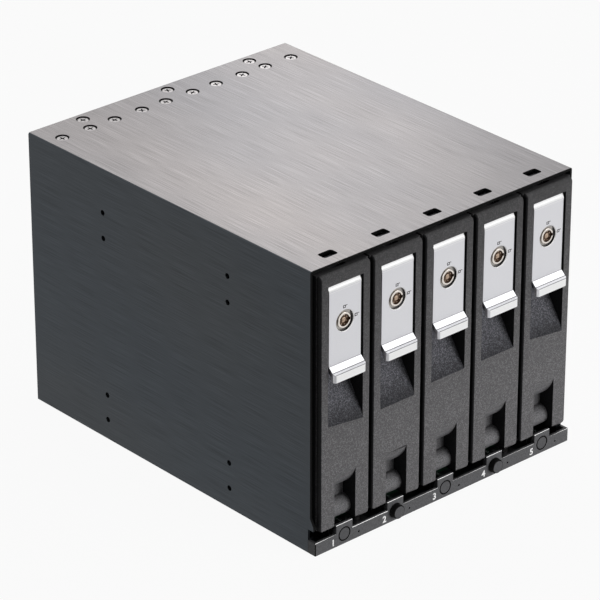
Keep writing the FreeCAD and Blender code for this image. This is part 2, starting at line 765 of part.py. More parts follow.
def make_lever():
    """Pull lever with its barrel, hook, finger lip and lock housing."""
    body = new_body("lever_plate")
    half = "LeverWidth / 2"
    inner_lip = "(LipThick - LipProud)"
    inner_bend = f"({LEVER_BEND} - LeverThick * tan(22.5deg))"
    corner = "BarrelCornerTurn * 1deg"
    pad(body, "YZ", (f"-{half}", half), [
        ("-LeverProud", LEVER_BEND),
        ("-LedgeProud", f"{LIP_TOP} + LedgeRise"),
        ("-LipProud", LIP_TOP),
        ("-LipProud", LEVER_FOOT),
        (inner_lip, LEVER_FOOT),
        (inner_lip, f"{inner_bend} + {inner_lip} - {LEVER_BACK}"),
        (LEVER_BACK, inner_bend),
        (LEVER_BACK, PIVOT_Z),
        (PIVOT_Y, f"{PIVOT_Z} + BarrelRadius"),
        (f"{PIVOT_Y} - BarrelCorner * sin({corner})", f"{PIVOT_Z} + BarrelCorner * cos({corner})"),
        ("-LeverProud", f"{PIVOT_Z} - PivotProud")])
    soften(body, "Fillet", "LipCorner", "z", lambda at, box: near(at.y, box.YMin))
    pad(body, "YZ", (f"-{half}", half), circle(PIVOT_Y, PIVOT_Z, "BarrelRadius"))
    hook_back = "(WindowInset + WindowDepth / 2 - HookInset)"
    pad(body, "YZ", ("-HookWidth / 2", "HookWidth / 2"), [
        (f"{PIVOT_Y} + BarrelRadius / 2", f"{PIVOT_Z} - BarrelRadius / 2"),
        (f"{PIVOT_Y} + 2.5 * HookThick", f"{PIVOT_Z} + HookThick"),
        (hook_back, f"{HOOK_TOP} - HookThick"),
        (hook_back, HOOK_TOP),
        (f"{hook_back} - HookThick", HOOK_TOP),
        (f"{PIVOT_Y} + 1.5 * HookThick", f"{PIVOT_Z} + 2 * HookThick"),
        (PIVOT_Y, f"{PIVOT_Z} + BarrelRadius - Bite")])
    # Lock housing: mouth in the face, boss behind
    boss_back = f"({LEVER_BACK} + LockBossLength)"
    pad(body, "XZ", (LEVER_BACK, boss_back), circle("0", LOCK_Z, "LockBossRadius"))
    pocket(body, "XZ", ("-LeverProud - CutPast", LOCK_FLOOR), circle("0", LOCK_Z, "LockMouth"))
    pocket(body, "XZ", ("-LeverProud - CutPast", f"{boss_back} + CutPast"),
           circle("0", LOCK_Z, "PlugRadius + PlugPlay"))
    pocket(body, "YZ", (f"-{half} - CutPast", f"{half} + CutPast"),
           circle(PIVOT_Y, PIVOT_Z, "PinRadius + PinPlay"))
    return body


def make_lock_plug():
    """Tubular key plug with its cam; the key slot stands at three o'clock."""
    body = new_body("lock_plug")
    face = f"({LOCK_FLOOR} - PlugRise)"
    pad(body, "XZ", (face, f"{CAM_FRONT} + CamThick"), circle("0", LOCK_Z, "PlugRadius"))
    pad(body, "XZ", (CAM_FRONT, f"{CAM_FRONT} + CamThick"),
        rectangle(("-CamWidth / 2", "CamWidth / 2"), (f"{LOCK_Z} - CamLength", LOCK_Z)))
    pocket(body, "XZ", (f"{face} - CutPast", f"{face} + KeyDepth"),
           circle("0", LOCK_Z, "KeyRingRadius"), circle("0", LOCK_Z, "KeyPostRadius"))
    pocket(body, "XZ", (f"{face} - CutPast", f"{face} + KeyDepth"),
           rectangle(("KeyPostRadius + KeySlot / 2", "PlugRadius + CutPast"),
                     (f"{LOCK_Z} - KeySlot / 2", f"{LOCK_Z} + KeySlot / 2")))
    return body


def make_hinge_pin():
    body = new_body("hinge_pin")
    reach = "(PocketWidth / 2 + PinSeat - PinPlay)"
    pad(body, "YZ", (f"-{reach}", reach), circle(PIVOT_Y, PIVOT_Z, "PinRadius"))
    return body


def make_latch_spring():
    """Leaf that bears on the back of the lever's barrel."""
    body = new_body("latch_spring")
    tip = f"({PIVOT_Y} + BarrelRadius + BarrelPlay / 2)"
    bend = f"{PIVOT_Z} - BarrelCorner"
    foot = f"{PIVOT_Z} - SpringLength"
    seat = f"({POCKET_BACK} - SpringThick)"
    pad(body, "YZ", ("SpringInset - PocketWidth / 2", "SpringInset + SpringWidth - PocketWidth / 2"), [
        (seat, foot), (POCKET_BACK, foot), (POCKET_BACK, f"{bend} - 2"),
        (f"{tip} + SpringThick", bend), (f"{tip} + SpringThick", PIVOT_Z),
        (tip, PIVOT_Z), (tip, f"{bend} - SpringThick"), (seat, f"{bend} - 2 - SpringThick")])
    return body


def make_carrier():
    """Sheet metal tray: web, guide flanges, front plate, vents and drive holes."""
    body = new_body("carrier")
    flange = f"({WEB_OUTER} + CarrierFlange)"
    foot, top = CARRIER_FOOT, CARRIER_TOP
    pad(body, "XZ", ("BezelBack", "CarrierBack"), [
        (WEB_OUTER, foot), (flange, foot), (flange, f"{foot} + CarrierWall"),
        (WEB_INNER, f"{foot} + CarrierWall"), (WEB_INNER, f"{top} - CarrierWall"),
        (flange, f"{top} - CarrierWall"), (flange, top), (WEB_OUTER, top)])
    pad(body, "XZ", ("BezelBack", "BezelBack + CarrierWall"),
        rectangle((WEB_OUTER, f"-{WEB_OUTER}"), (foot, top)))
    # Front plate, open behind the notch, the scoop and the hook
    open_half = "(NotchWidth / 2 + BezelWall)"
    hook_half = "(HookWidth / 2 + 2 * BezelWall)"
    clear = "(2 * BossRadius)"
    pocket(body, "XZ", ("BezelBack - CutPast", "BezelBack + CarrierWall + CutPast"),
           rectangle((f"-{open_half}", open_half), (f"{foot} + 2 * BezelWall", f"{LOW_BOSS_Z} - {clear}")),
           rectangle((f"-{open_half}", open_half), (f"{LOW_BOSS_Z} + {clear}", f"{HIGH_BOSS_Z} - {clear}")),
           rectangle((f"-{hook_half}", hook_half), (f"{HIGH_BOSS_Z} + {clear}", f"{top} + CutPast")))
    holes = [circle("0", height, "TrayScrewRadius + 2 * PinPlay") for height in (LOW_BOSS_Z, HIGH_BOSS_Z)]
    pocket(body, "XZ", ("BezelBack - CutPast", "BezelBack + CarrierWall + CutPast"), *holes)
    # Vents and drive screw holes through the web
    through = (f"{WEB_OUTER} - CutPast", f"{WEB_INNER} + CutPast")
    vents = []
    for column in range(VENT_COLUMNS):
        left = f"(VentFront + {column} * VentStep)"
        for low in (f"({DRIVE_MIDDLE} - VentGap / 2 - VentHeight)", f"({DRIVE_MIDDLE} + VentGap / 2)"):
            vents.append(rectangle((left, f"{left} + VentWidth"), (low, f"{low} + VentHeight")))
    pocket(body, "YZ", through, *vents)
    drive_holes = [
        circle(f"{DRIVE_BACK} - DriveHoleInset - {step} * DriveHoleStep",
               f"{DRIVE_MIDDLE} + {side} * DriveHoleSpacing / 2", "DriveHoleRadius")
        for step in (0, 1) for side in (-1, 1)]
    pocket(body, "YZ", through, *drive_holes)
    return body


def make_bezel_screws():
    plate_back = "(BezelBack + CarrierWall)"
    screws = []
    for height in (LOW_BOSS_Z, HIGH_BOSS_Z):
        place = ("0", height)
        screws.append(fused(
            hex_bar((plate_back, f"{plate_back} + TrayScrewHeadThick"), place, "TrayScrewHead"),
            rod("y", (f"{plate_back} - TrayScrewLength", plate_back), place, "TrayScrewRadius")))
    return group(screws)


def make_trays():
    repeat_in_trays(make_bezel(), "bezel")
    repeat_in_trays(make_lever(), "lever")
    repeat_in_trays(make_lock_plug(), "lock_plug")
    repeat_in_trays(make_hinge_pin(), "hinge_pin")
    repeat_in_trays(make_latch_spring(), "latch_spring")
    repeat_in_trays(make_carrier(), "carrier")
    repeat_in_trays(make_bezel_screws(), "bezel_screws")


# Guides

def guide_bar(reach=INNER_SIDE):
    """Outline, seen from above, of the bar that takes a guide's screws."""
    return rectangle((f"-{reach}", reach),
                     (f"{GUIDE_SCREW_Y} - GuideBar / 2", f"{GUIDE_SCREW_Y} + GuideBar / 2"))


def make_upper_guide():
    """Deck under the cover with a rib between every two carriers' flanges."""
    body = new_body("upper_guide")
    pad(body, "XY", (UPPER_DECK, INNER_TOP),
        rectangle((f"-{INNER_SIDE}", INNER_SIDE), ("GuideFront", GUIDE_BACK)))
    rib = pad(body, "XZ", ("GuideFront", "CarrierBack"), rectangle(
        (f"-2 * TrayPitch + {RIB_NEAR}", f"-2 * TrayPitch + {RIB_FAR}"),
        (f"{UPPER_DECK} - GuideRib", f"{UPPER_DECK} + Bite")))
    row_pattern(body, rib, "TrayPitch", len(TRAYS))
    # Bar across the back that the screws reach into
    bar_low = f"{INNER_TOP} - ScrewLength - GuidePlate"
    pad(body, "XY", (bar_low, f"{UPPER_DECK} + Bite"), guide_bar())
    pocket(body, "XY", (f"{INNER_TOP} - ScrewLength", f"{INNER_TOP} + CutPast"),
           *[circle(*place, "ScrewRadius + ScrewPlay") for place in guide_screw_places("top")])
    return body


def make_lower_guide():
    """Raised deck under the carriers, with ribs above it and legs below."""
    body = new_body("lower_guide")
    deck_foot = f"({LOWER_DECK} - GuidePlate)"
    pad(body, "XY", (deck_foot, LOWER_DECK),
        rectangle((f"-{INNER_SIDE}", INNER_SIDE), ("GuideFront", GUIDE_BACK)))
    rib = pad(body, "XZ", ("GuideFront", "CarrierBack"), rectangle(
        (f"-2 * TrayPitch + {RIB_NEAR}", f"-2 * TrayPitch + {RIB_FAR}"),
        (f"{LOWER_DECK} - Bite", f"{LOWER_DECK} + GuideRib")))
    row_pattern(body, rib, "TrayPitch", len(TRAYS))
    leg_reach = ("SheetWall", f"{deck_foot} + Bite")
    leg_middle = f"(-2 * TrayPitch + ({RIB_NEAR} + {RIB_FAR}) / 2)"
    leg = pad(body, "XZ", ("GuideFront", GUIDE_BACK), rectangle(
        (f"{leg_middle} - GuideLeg / 2", f"{leg_middle} + GuideLeg / 2"), leg_reach))
    row_pattern(body, leg, "TrayPitch", len(TRAYS))
    side_leg = f"({INNER_SIDE} - SheetWall - 2 * FloorPlay)"
    pad(body, "XZ", ("GuideFront", GUIDE_BACK),
        rectangle((f"-{side_leg}", f"GuideLeg - {side_leg}"), leg_reach))
    pad(body, "XY", leg_reach, guide_bar(side_leg))
    pocket(body, "XY", ("SheetWall - CutPast", deck_foot),
           *[circle(*place, "ScrewRadius + ScrewPlay") for place in guide_screw_places("bottom")])
    # Room behind the case's lowest mounting holes
    relief = [circle(f"SideHoleFront + {step}", "SideHoleLow", "HoleRelief")
              for step in ("0", "SideHoleSpacing")]
    for low, high in ((f"-{INNER_SIDE} - CutPast", f"-{INNER_SIDE} + ReliefDepth"),
                      (f"{INNER_SIDE} - ReliefDepth", f"{INNER_SIDE} + CutPast")):
        pocket(body, "YZ", (low, high), *relief)
    return body


def make_guides():
    subpart(make_upper_guide(), "upper_guide")
    subpart(make_lower_guide(), "lower_guide")


# Front rail, power buttons and their board

def make_front_rail():
    body = new_body("front_rail")
    half = "CageWidth / 2"
    back = "(RailWall - RailProud)"
    pad(body, "XZ", ("-RailProud", back), rectangle((f"-{half}", half), ("0", "RailHeight")))
    tab = pad(body, "XZ", ("-RailProud", back), rectangle(
        ("-2 * TrayPitch - TabWidth / 2", "-2 * TrayPitch + TabWidth / 2"),
        ("RailHeight - Bite", "TabHeight")))
    row_pattern(body, tab, "TrayPitch", len(TRAYS))
    pad(body, "XZ", ("-RailProud", "-FloorPlay"), rectangle((f"-{half}", half), ("0", "SheetWall")))
    for low, high in ((f"-{half}", f"-{half} + SheetWall"), (f"{half} - SheetWall", half)):
        pad(body, "XZ", ("-RailProud", "RailReach - FloorPlay"), rectangle((low, high), ("0", "RailHeight")))
    # Lugs that lie on the floor sheet
    lugs = [rectangle((f"{across} - LugWidth / 2", f"{across} + LugWidth / 2"), (back, "LugLength"))
            for across, _ in lug_places()]
    pad(body, "XY", ("SheetWall", "SheetWall + LugThick"), *lugs)
    pocket(body, "XY", ("SheetWall - CutPast", "SheetWall + LugThick + CutPast"),
           *[circle(across, along, "ScrewRadius + ScrewPlay") for across, along in lug_places()])
    collar = pad(body, "XZ", (back, f"{back} + CollarLength"),
                 circle("-2 * TrayPitch", "ButtonHeight", "ButtonHole + CollarWall"))
    row_pattern(body, collar, "TrayPitch", len(TRAYS))
    bore = pocket(body, "XZ", ("-RailProud - CutPast", f"{back} + CollarLength + CutPast"),
                  circle("-2 * TrayPitch", "ButtonHeight", "ButtonHole"),
                  circle("-2 * TrayPitch + LampOffset", "LampHeight", "LampRadius + LampPlay"))
    row_pattern(body, bore, "TrayPitch", len(TRAYS))
    return body


def make_button(number):
    """Power button with its stop wings and the stem that enters the switch."""
    body = new_body("power_button")
    face = "(-RailProud)" if number in PRESSED_BUTTONS else "(-RailProud - ButtonTravel)"
    shaft_end = f"({face} + ButtonShaft)"
    pad(body, "XZ", (face, shaft_end), circle("0", "ButtonHeight", "ButtonHole - ButtonPlay"))
    wing = "(ButtonHole + ButtonFlange)"
    pad(body, "XZ", (shaft_end, f"{shaft_end} + RailWall / 2"), rectangle(
        (f"-{wing}", wing), (f"ButtonHeight - {wing} / 2", f"ButtonHeight + {wing} / 2")))
    stem = "ButtonStem / 2"
    pad(body, "XZ", (shaft_end, f"{face} + ButtonLength"), rectangle(
        (f"-{stem}", stem), (f"ButtonHeight - {stem}", f"ButtonHeight + {stem}")))
    return body


def make_push_switches():
    """Five switch bodies with the square sockets that the buttons' stems run in."""
    half, reach = "SwitchSize / 2", "(ButtonStem / 2 + ButtonPlay)"
    switches = []
    for number in TRAYS:
        middle = tray_shift(number)
        case = block((f"{middle} - {half}", f"{middle} + {half}"),
                     ("SwitchFront", "SwitchFront + SwitchLength"),
                     (f"ButtonHeight - {half}", f"ButtonHeight + {half}"))
        socket = block((f"{middle} - {reach}", f"{middle} + {reach}"),
                       ("SwitchFront - CutPast", "SwitchFront + SwitchLength - SwitchWall"),
                       (f"ButtonHeight - {reach}", f"ButtonHeight + {reach}"))
        switches.append(without(case, socket))
    return group(switches)


def make_light_pipes():
    return group([
        rod("y", ("LampSink - RailProud", "SwitchFront + SwitchLength"),
            (f"{tray_shift(number)} + LampOffset", "LampHeight"), "LampRadius")
        for number in TRAYS])


def make_front():
    subpart(make_front_rail(), "front_rail")
    for number in TRAYS:
        subpart(make_button(number), f"power_button_{number}", tray_shift(number))
    subpart(make_push_switches(), "push_switches")
    subpart(make_light_pipes(), "light_pipes")
    board = new_body("switch_board")
    board_front = "(SwitchFront + SwitchLength)"
    pad(board, "XZ", (board_front, f"{board_front} + BoardThick"), rectangle(
        ("-SwitchBoardWidth / 2", "SwitchBoardWidth / 2"), ("SheetWall", "SheetWall + SwitchBoardHeight")))
    subpart(board, "switch_board")


# Backplane and rear panel

def spacer_places():
    low = "(SheetWall + BackplaneMargin + SpacerMargin)"
    high = f"({INNER_TOP} - BackplaneMargin - SpacerMargin)"
    return [(f"{side} * SpacerSpread", height) for side in (-1, 1) for height in (low, high)]


def port_outline(index, play):
    low = f"(PortLow + {index} * PortStep)"
    return rectangle((f"PortPlace - PortWidth / 2 - {play}", f"PortPlace + PortWidth / 2 + {play}"),
                     (f"{low} - PortHeight / 2 - {play}", f"{low} + PortHeight / 2 + {play}"))


def power_outline(index, play):
    low = f"(PowerLow + {index} * PowerStep)"
    return rectangle((f"PowerPlace - PowerWidth / 2 - {play}", f"PowerPlace + PowerWidth / 2 + {play}"),
                     (f"{low} - PowerHeight / 2 - {play}", f"{low} + PowerHeight / 2 + {play}"))


def fan_hole_places():
    return [(f"FanPlace + {side} * FanHoleSpacing / 2", f"FanHeight + {rise} * FanHoleSpacing / 2")
            for side in (-1, 1) for rise in (-1, 1)]


def make_backplane_board():
    body = new_body("backplane_board")
    low, high = "(SheetWall + BackplaneMargin)", f"({INNER_TOP} - BackplaneMargin)"
    through = (f"{BACKPLANE_FRONT} - CutPast", f"{BACKPLANE_BACK} + CutPast")
    pad(body, "XZ", (BACKPLANE_FRONT, BACKPLANE_BACK),
        rectangle(("-BackplaneWidth / 2", "BackplaneWidth / 2"), (low, high)))
    slot = pocket(body, "XZ", through, rectangle(
        ("-1.5 * TrayPitch - SlotWidth / 2", "-1.5 * TrayPitch + SlotWidth / 2"),
        (f"{low} + SlotMargin", f"{high} - SlotMargin")))
    row_pattern(body, slot, "TrayPitch", len(TRAYS) - 1)
    pocket(body, "XZ", through, *[circle(*place, "ScrewRadius + ScrewPlay") for place in spacer_places()])
    return body


def make_board_spacers():
    """Spacer on the rear panel with its screw through the backplane."""
    pieces = []
    for place in spacer_places():
        pieces.append(fused(
            hex_bar((BACKPLANE_BACK, PANEL_FACE), place, "SpacerAcross"),
            rod("y", (BACKPLANE_FRONT, BACKPLANE_BACK), place, "ScrewRadius"),
            hex_bar((f"{BACKPLANE_FRONT} - SpacerHead", BACKPLANE_FRONT), place, "SpacerAcross")))
    return group(pieces)


def make_drive_sockets():
    """Combined data and power receptacles that the drives plug onto."""
    pieces = []
    top = f"({DRIVE_MIDDLE} + DriveWidth / 2 - DriveSocketDrop)"
    front = f"({BACKPLANE_FRONT} - DriveSocketDepth)"
    for number in TRAYS:
        middle = f"({tray_shift(number)} + {WEB_INNER} + DriveSocketInset)"
        half, narrow = "DriveSocketThick / 2", "SocketSlotWidth / 2"
        base = block((f"{middle} - {half}", f"{middle} + {half}"), (front, BACKPLANE_FRONT),
                     (f"{top} - DriveSocketLength", top))
        key_top = f"{top} - SocketEnd - SocketDataSlot"
        slots = [
            block((f"{middle} - {narrow}", f"{middle} + {narrow}"),
                  (f"{front} - CutPast", f"{front} + SocketSlotDepth"), span)
            for span in ((key_top, f"{top} - SocketEnd"),
                         (f"{top} - DriveSocketLength + SocketEnd", f"{key_top} - SocketKey"))]
        pieces.append(without(base, *slots))
    return group(pieces)


def make_box_from(outline, along):
    (left, low), _, (right, high), _ = outline
    return block((left, right), along, (low, high))


def make_sata_ports():
    """Seven pin data ports, each with its key slot."""
    pieces = []
    back = "(CageDepth + PortProud)"
    for index in range(len(TRAYS)):
        middle = f"(PortLow + {index} * PortStep)"
        base = make_box_from(port_outline(index, "0"), (BACKPLANE_BACK, back))
        along = (f"{back} - PortSlotDepth", f"{back} + CutPast")
        right = "PortPlace + PortSlotWidth / 2"
        lower, upper = f"{middle} - PortSlotHeight / 2", f"{middle} + PortSlotHeight / 2"
        slot = block(("PortPlace - PortSlotWidth / 2", right), along, (lower, upper))
        key = block((f"{right} - PortKeyWidth", right), along, (f"{lower} - PortKeyDrop", upper))
        pieces.append(without(base, slot, key))
    return group(pieces)


def make_power_sockets():
    """Four pin drive power sockets."""
    pieces = []
    back = "(CageDepth + PortProud)"
    floor = f"({back} - PowerDepth)"
    for index in range(POWER_SOCKETS):
        middle = f"(PowerLow + {index} * PowerStep)"
        base = make_box_from(power_outline(index, "0"), (BACKPLANE_BACK, back))
        cavity = make_box_from(power_outline(index, "-PowerWall"), (floor, f"{back} + CutPast"))
        pins = []
        for step in (-1.5, -0.5, 0.5, 1.5):
            across = f"(PowerPlace + {step} * PowerPinStep)"
            pins.append(block((f"{across} - PowerPin / 2", f"{across} + PowerPin / 2"),
                              (f"{floor} - Bite", f"{back} - PowerPinSink"),
                              (f"{middle} - PowerPin / 2", f"{middle} + PowerPin / 2")))
        pieces.append(fused(without(base, cavity), *pins))
    return group(pieces)


def make_rear_panel():
    body = new_body("rear_panel")
    half = f"({INNER_SIDE} - FloorPlay)"
    pad(body, "XZ", (PANEL_FACE, "CageDepth"), rectangle((f"-{half}", half), ("0", INNER_TOP)))
    flange = f"({half} - SheetWall - FloorPlay)"
    for low, high in (("SheetWall", "2 * SheetWall"), (f"{INNER_TOP} - SheetWall", INNER_TOP)):
        pad(body, "XZ", ("CageDepth - PanelFlange", "CageDepth"),
            rectangle((f"-{flange}", flange), (low, high)))
    through = (f"{PANEL_FACE} - CutPast", "CageDepth + CutPast")
    pocket(body, "XZ", through, circle("FanPlace", "FanHeight", "FanBore"))
    pocket(body, "XZ", through,
           *[circle(*place, "FanScrewRadius + ScrewPlay") for place in fan_hole_places()])
    ports = [port_outline(index, "PortPlay") for index in range(len(TRAYS))]
    ports += [power_outline(index, "PortPlay") for index in range(POWER_SOCKETS)]
    pocket(body, "XZ", through, *ports)
    holes = [circle(*place, "ScrewRadius + ScrewPlay") for place in panel_screw_places()]
    pocket(body, "XY", ("-CutPast", "2 * SheetWall + CutPast"), *holes)
    pocket(body, "XY", (f"{INNER_TOP} - SheetWall - CutPast", f"{INNER_TOP} + CutPast"), *holes)
    return body


def make_rear():
    subpart(make_rear_panel(), "rear_panel")
    subpart(make_backplane_board(), "backplane_board")
    subpart(make_board_spacers(), "board_spacers")
    subpart(make_drive_sockets(), "drive_sockets")
    subpart(make_sata_ports(), "sata_ports")
    subpart(make_power_sockets(), "power_sockets")


# Fan

def make_fan_frame():
    """Square flanges on a round barrel, with the motor seat on three struts."""
    body = new_body("fan_frame")
    half = "FanSize / 2"
    square = rectangle((f"FanPlace - {half}", f"FanPlace + {half}"),
                       (f"FanHeight - {half}", f"FanHeight + {half}"))
    pad(body, "XZ", ("CageDepth", "CageDepth + FanFlange"), square)
    soften(body, "Chamfer", "FanCorner", "y")
    pad(body, "XZ", ("CageDepth", FAN_BACK), circle("FanPlace", "FanHeight", "FanBarrel"))
    pad(body, "XZ", (f"{FAN_BACK} - FanFlange", FAN_BACK), square)
    soften(body, "Chamfer", "FanCorner", "y")
    pocket(body, "XZ", ("CageDepth - CutPast", f"{FAN_BACK} + CutPast"),
           circle("FanPlace", "FanHeight", "FanBore"))
    seat = (f"{FAN_BACK} - HubThick", FAN_BACK)
    pad(body, "XZ", seat, rectangle(("FanPlace - FanBore - Bite", "FanPlace + FanBore + Bite"),
                                    ("FanHeight - StrutWidth / 2", "FanHeight + StrutWidth / 2")))
    pad(body, "XZ", seat, rectangle(("FanPlace - StrutWidth / 2", "FanPlace + StrutWidth / 2"),
                                    ("FanHeight - FanBore - Bite", "FanHeight + FanBore + Bite")))
    pad(body, "XZ", seat, circle("FanPlace", "FanHeight", "HubRadius"))
    pad(body, "XZ", (f"{FAN_BACK} - HubThick - ShaftSeat", f"{FAN_BACK} - HubThick"),
        circle("FanPlace", "FanHeight", "2 * ShaftRadius"))
    pocket(body, "XZ", (f"{FAN_BACK} - HubThick - ShaftSeat - CutPast", f"{FAN_BACK} - HubThick / 2"),
           circle("FanPlace", "FanHeight", "ShaftRadius + ShaftPlay"))
    pocket(body, "XZ", ("CageDepth - CutPast", f"{FAN_BACK} + CutPast"),
           *[circle(*place, "FanScrewRadius + ScrewPlay") for place in fan_hole_places()])
    return body


def make_fan_rotor():
    """Hub cup and shaft with seven twisted blades, drawn round its own axis."""
    body = new_body("fan_rotor")
    front = "(CageDepth + RotorPlay)"
    back = f"({FAN_BACK} - HubThick - RotorPlay)"
    depth = f"({back} - {front})"
    middle = f"(({front} + {back}) / 2)"
    pad(body, "XZ", (front, back), circle("0", "0", "HubRadius - RotorPlay"))
    sections = []
    for level, pitch in (("HubRadius / 2", "BladePitch"), ("BladeReach", "BladePitch - BladeTwist")):
        along = f"BladeChord / 2 * sin(({pitch}) * 1deg)"
        across = f"BladeChord / 2 * cos(({pitch}) * 1deg)"
        thick = "BladeThick / 2"
        sections.append(draw(body, "XY", level, [[
            (f"-({across}) - {thick}", f"{middle} - {along}"),
            (f"-({across}) + {thick}", f"{middle} - {along}"),
            (f"{across} + {thick}", f"{middle} + {along}"),
            (f"{across} - {thick}", f"{middle} + {along}")]]))
    blade = body.newObject("PartDesign::AdditiveLoft", "Blade")
    blade.Profile = sections[0]
    blade.Sections = sections[1:]
    blade.Ruled = True
    body.Tip = blade
    ring = body.newObject("PartDesign::PolarPattern", "Blades")
    ring.Originals = [blade]
    ring.Axis = ([part for part in body.Origin.OriginFeatures if part.Role == "Y_Axis"][0], [""])
    ring.Angle = 360
    ring.Occurrences = BLADES
    body.Tip = ring
    # Hollow of the hub cup, round the motor seat's bearing tube, and the shaft
    pocket(body, "XZ", (f"{front} + HubThick", f"{back} + CutPast"),
           circle("0", "0", "HubRadius - RotorPlay - HubThick"))
    pad(body, "XZ", (front, f"{FAN_BACK} - HubThick / 2 - ShaftPlay"), circle("0", "0", "ShaftRadius"))
    return body


def make_finger_guard():
    """Concentric rings on four arms that end in screw eyes."""
    body = new_body("finger_guard")
    along = (FAN_BACK, f"{FAN_BACK} + GuardWire")
    for step in GUARD_RINGS:
        pad(body, "XZ", along, circle("FanPlace", "FanHeight", f"{step} * GuardRing + GuardWire"),
            circle("FanPlace", "FanHeight", f"{step} * GuardRing"))
    reach = "(FanHoleSpacing / 2)"
    thin = "(GuardWire / 2)"
    for sense in (1, -1):
        pad(body, "XZ", along, [
            (f"FanPlace - {reach} + {thin}", f"FanHeight + {sense} * (-{reach} - {thin})"),
            (f"FanPlace + {reach} + {thin}", f"FanHeight + {sense} * ({reach} - {thin})"),
            (f"FanPlace + {reach} - {thin}", f"FanHeight + {sense} * ({reach} + {thin})"),
            (f"FanPlace - {reach} - {thin}", f"FanHeight + {sense} * (-{reach} + {thin})")])
    pad(body, "XZ", along, *[circle(*place, "GuardEye") for place in fan_hole_places()])
    pocket(body, "XZ", (f"{FAN_BACK} - CutPast", f"{FAN_BACK} + GuardWire + CutPast"),
           *[circle(*place, "FanScrewRadius + ScrewPlay") for place in fan_hole_places()])
    return body


def make_fan_screws():
    screws = []
    seat = f"({FAN_BACK} + GuardWire)"
    for place in fan_hole_places():
        screws.append(fused(
            rod("y", (seat, f"{seat} + FanScrewHeadThick"), place, "FanScrewHead"),
            rod("y", (f"{PANEL_FACE} - CutPast", seat), place, "FanScrewRadius")))
    return group(screws)


def make_fan():
    subpart(make_fan_frame(), "fan_frame")
    rotor = subpart(make_fan_rotor(), "fan_rotor", "FanPlace")
    bind(rotor, "Placement.Base.z", "FanHeight")
    subpart(make_finger_guard(), "finger_guard")
    subpart(make_fan_screws(), "fan_screws")


def check_document():
    """Stop before writing if any object failed or any cut took nothing away."""
    for thing in doc.Objects:
        if {"Invalid", "Error"} & set(thing.State):
            raise RuntimeError(f"{thing.Label} ({thing.Name}) failed: {thing.State}")
        if thing.TypeId == "PartDesign::Pocket" and thing.BaseFeature:
            if thing.Shape.Volume > thing.BaseFeature.Shape.Volume - 1e-6:
                raise RuntimeError(f"{thing.Name} cuts nothing")
    for piece in subparts:
        if piece.Shape.isNull() or not piece.Shape.isValid():
            raise RuntimeError(f"{piece.Label} has no valid shape")


def main():
    make_case()
    make_trays()
    make_guides()
    make_front()
    make_rear()
    make_fan()
    doc.recompute()
    check_document()
    os.makedirs("parts", exist_ok=True)
    for piece in subparts:
        piece.Shape.exportStep(f"parts/{piece.Label}.step")


main()
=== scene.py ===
import json
import math

import bmesh
import bpy
from mathutils import Matrix, Vector


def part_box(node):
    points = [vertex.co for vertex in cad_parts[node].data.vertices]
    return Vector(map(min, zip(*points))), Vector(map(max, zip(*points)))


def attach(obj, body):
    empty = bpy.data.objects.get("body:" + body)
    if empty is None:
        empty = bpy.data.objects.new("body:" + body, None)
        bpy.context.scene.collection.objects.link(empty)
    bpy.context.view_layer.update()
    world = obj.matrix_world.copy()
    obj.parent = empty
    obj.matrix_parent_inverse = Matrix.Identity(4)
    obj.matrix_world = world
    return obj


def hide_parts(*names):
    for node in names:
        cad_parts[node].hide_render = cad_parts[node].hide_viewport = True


# Hot swap drive cage: five lockable trays in a brushed metal case.
# +X is right, -Y the front, +Z up, in metres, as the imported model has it.
# The studio's lengths are in metres, those of finishes and pieces in millimetres, and angles in degrees.

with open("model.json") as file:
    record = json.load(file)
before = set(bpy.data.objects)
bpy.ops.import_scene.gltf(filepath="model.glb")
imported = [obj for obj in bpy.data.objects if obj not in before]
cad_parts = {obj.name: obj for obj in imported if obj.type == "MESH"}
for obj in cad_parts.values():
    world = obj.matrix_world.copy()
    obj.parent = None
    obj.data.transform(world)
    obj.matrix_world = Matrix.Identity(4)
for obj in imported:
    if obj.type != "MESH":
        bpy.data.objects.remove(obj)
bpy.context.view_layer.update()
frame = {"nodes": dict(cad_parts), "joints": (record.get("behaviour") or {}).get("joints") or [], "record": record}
joints = {joint["name"]: joint for joint in frame["joints"]}
trays = (1, 2, 3, 4, 5)
mm = 0.001
print("frame loaded")


# Camera, floor and light

camera = {"place": (-0.9436, -1.0533, 0.7740), "aim": (-0.0191, -0.0229, 0.0724), "lens": 222.8,
          "clip": (0.05, 20)}
studio = {
    "ambient": 0.10,
    "lampAim": (0, 0, 0.06),
    "floorSize": 6.0, "floorShade": 0.7, "floorRoughness": 0.9,
    "floorGlow": 0.94,                      # share of the floor that is plain white, the rest takes shadow
    "floorMirrored": 0.88,                  # how bright that white is in reflections
    "paintedDarkMirrored": 0.22,                   # and where the floor's reflections are painted dark off the front left corner, as a dark flag would make them
    "paintedDarkStart": -0.23, "paintedDarkEnd": -0.42,   # X + Y where that painted dark begins, and where it is full
}
lamps = {
    "keyLamp": {"place": (0.9, -0.8, 1.1), "size": 0.8, "power": 2.2},
    "frontLamp": {"place": (0.45, -1.2, 0.10), "size": 0.7, "power": 20.5, "mirrored": False},
    "topLamp": {"place": (0.2, 0.9, 1.3), "size": 1.0, "power": 3.0},
    "sheenLamp": {"place": (0.24, 0.24, 0.31), "size": 0.15, "power": 0.11},
}


def addHolder(name, data):
    holder = bpy.data.objects.new(name, data)
    bpy.context.collection.objects.link(holder)
    return holder


def aimAt(thing, place, target):
    thing.location = place
    thing.rotation_euler = (Vector(target) - Vector(place)).to_track_quat("-Z", "Y").to_euler()


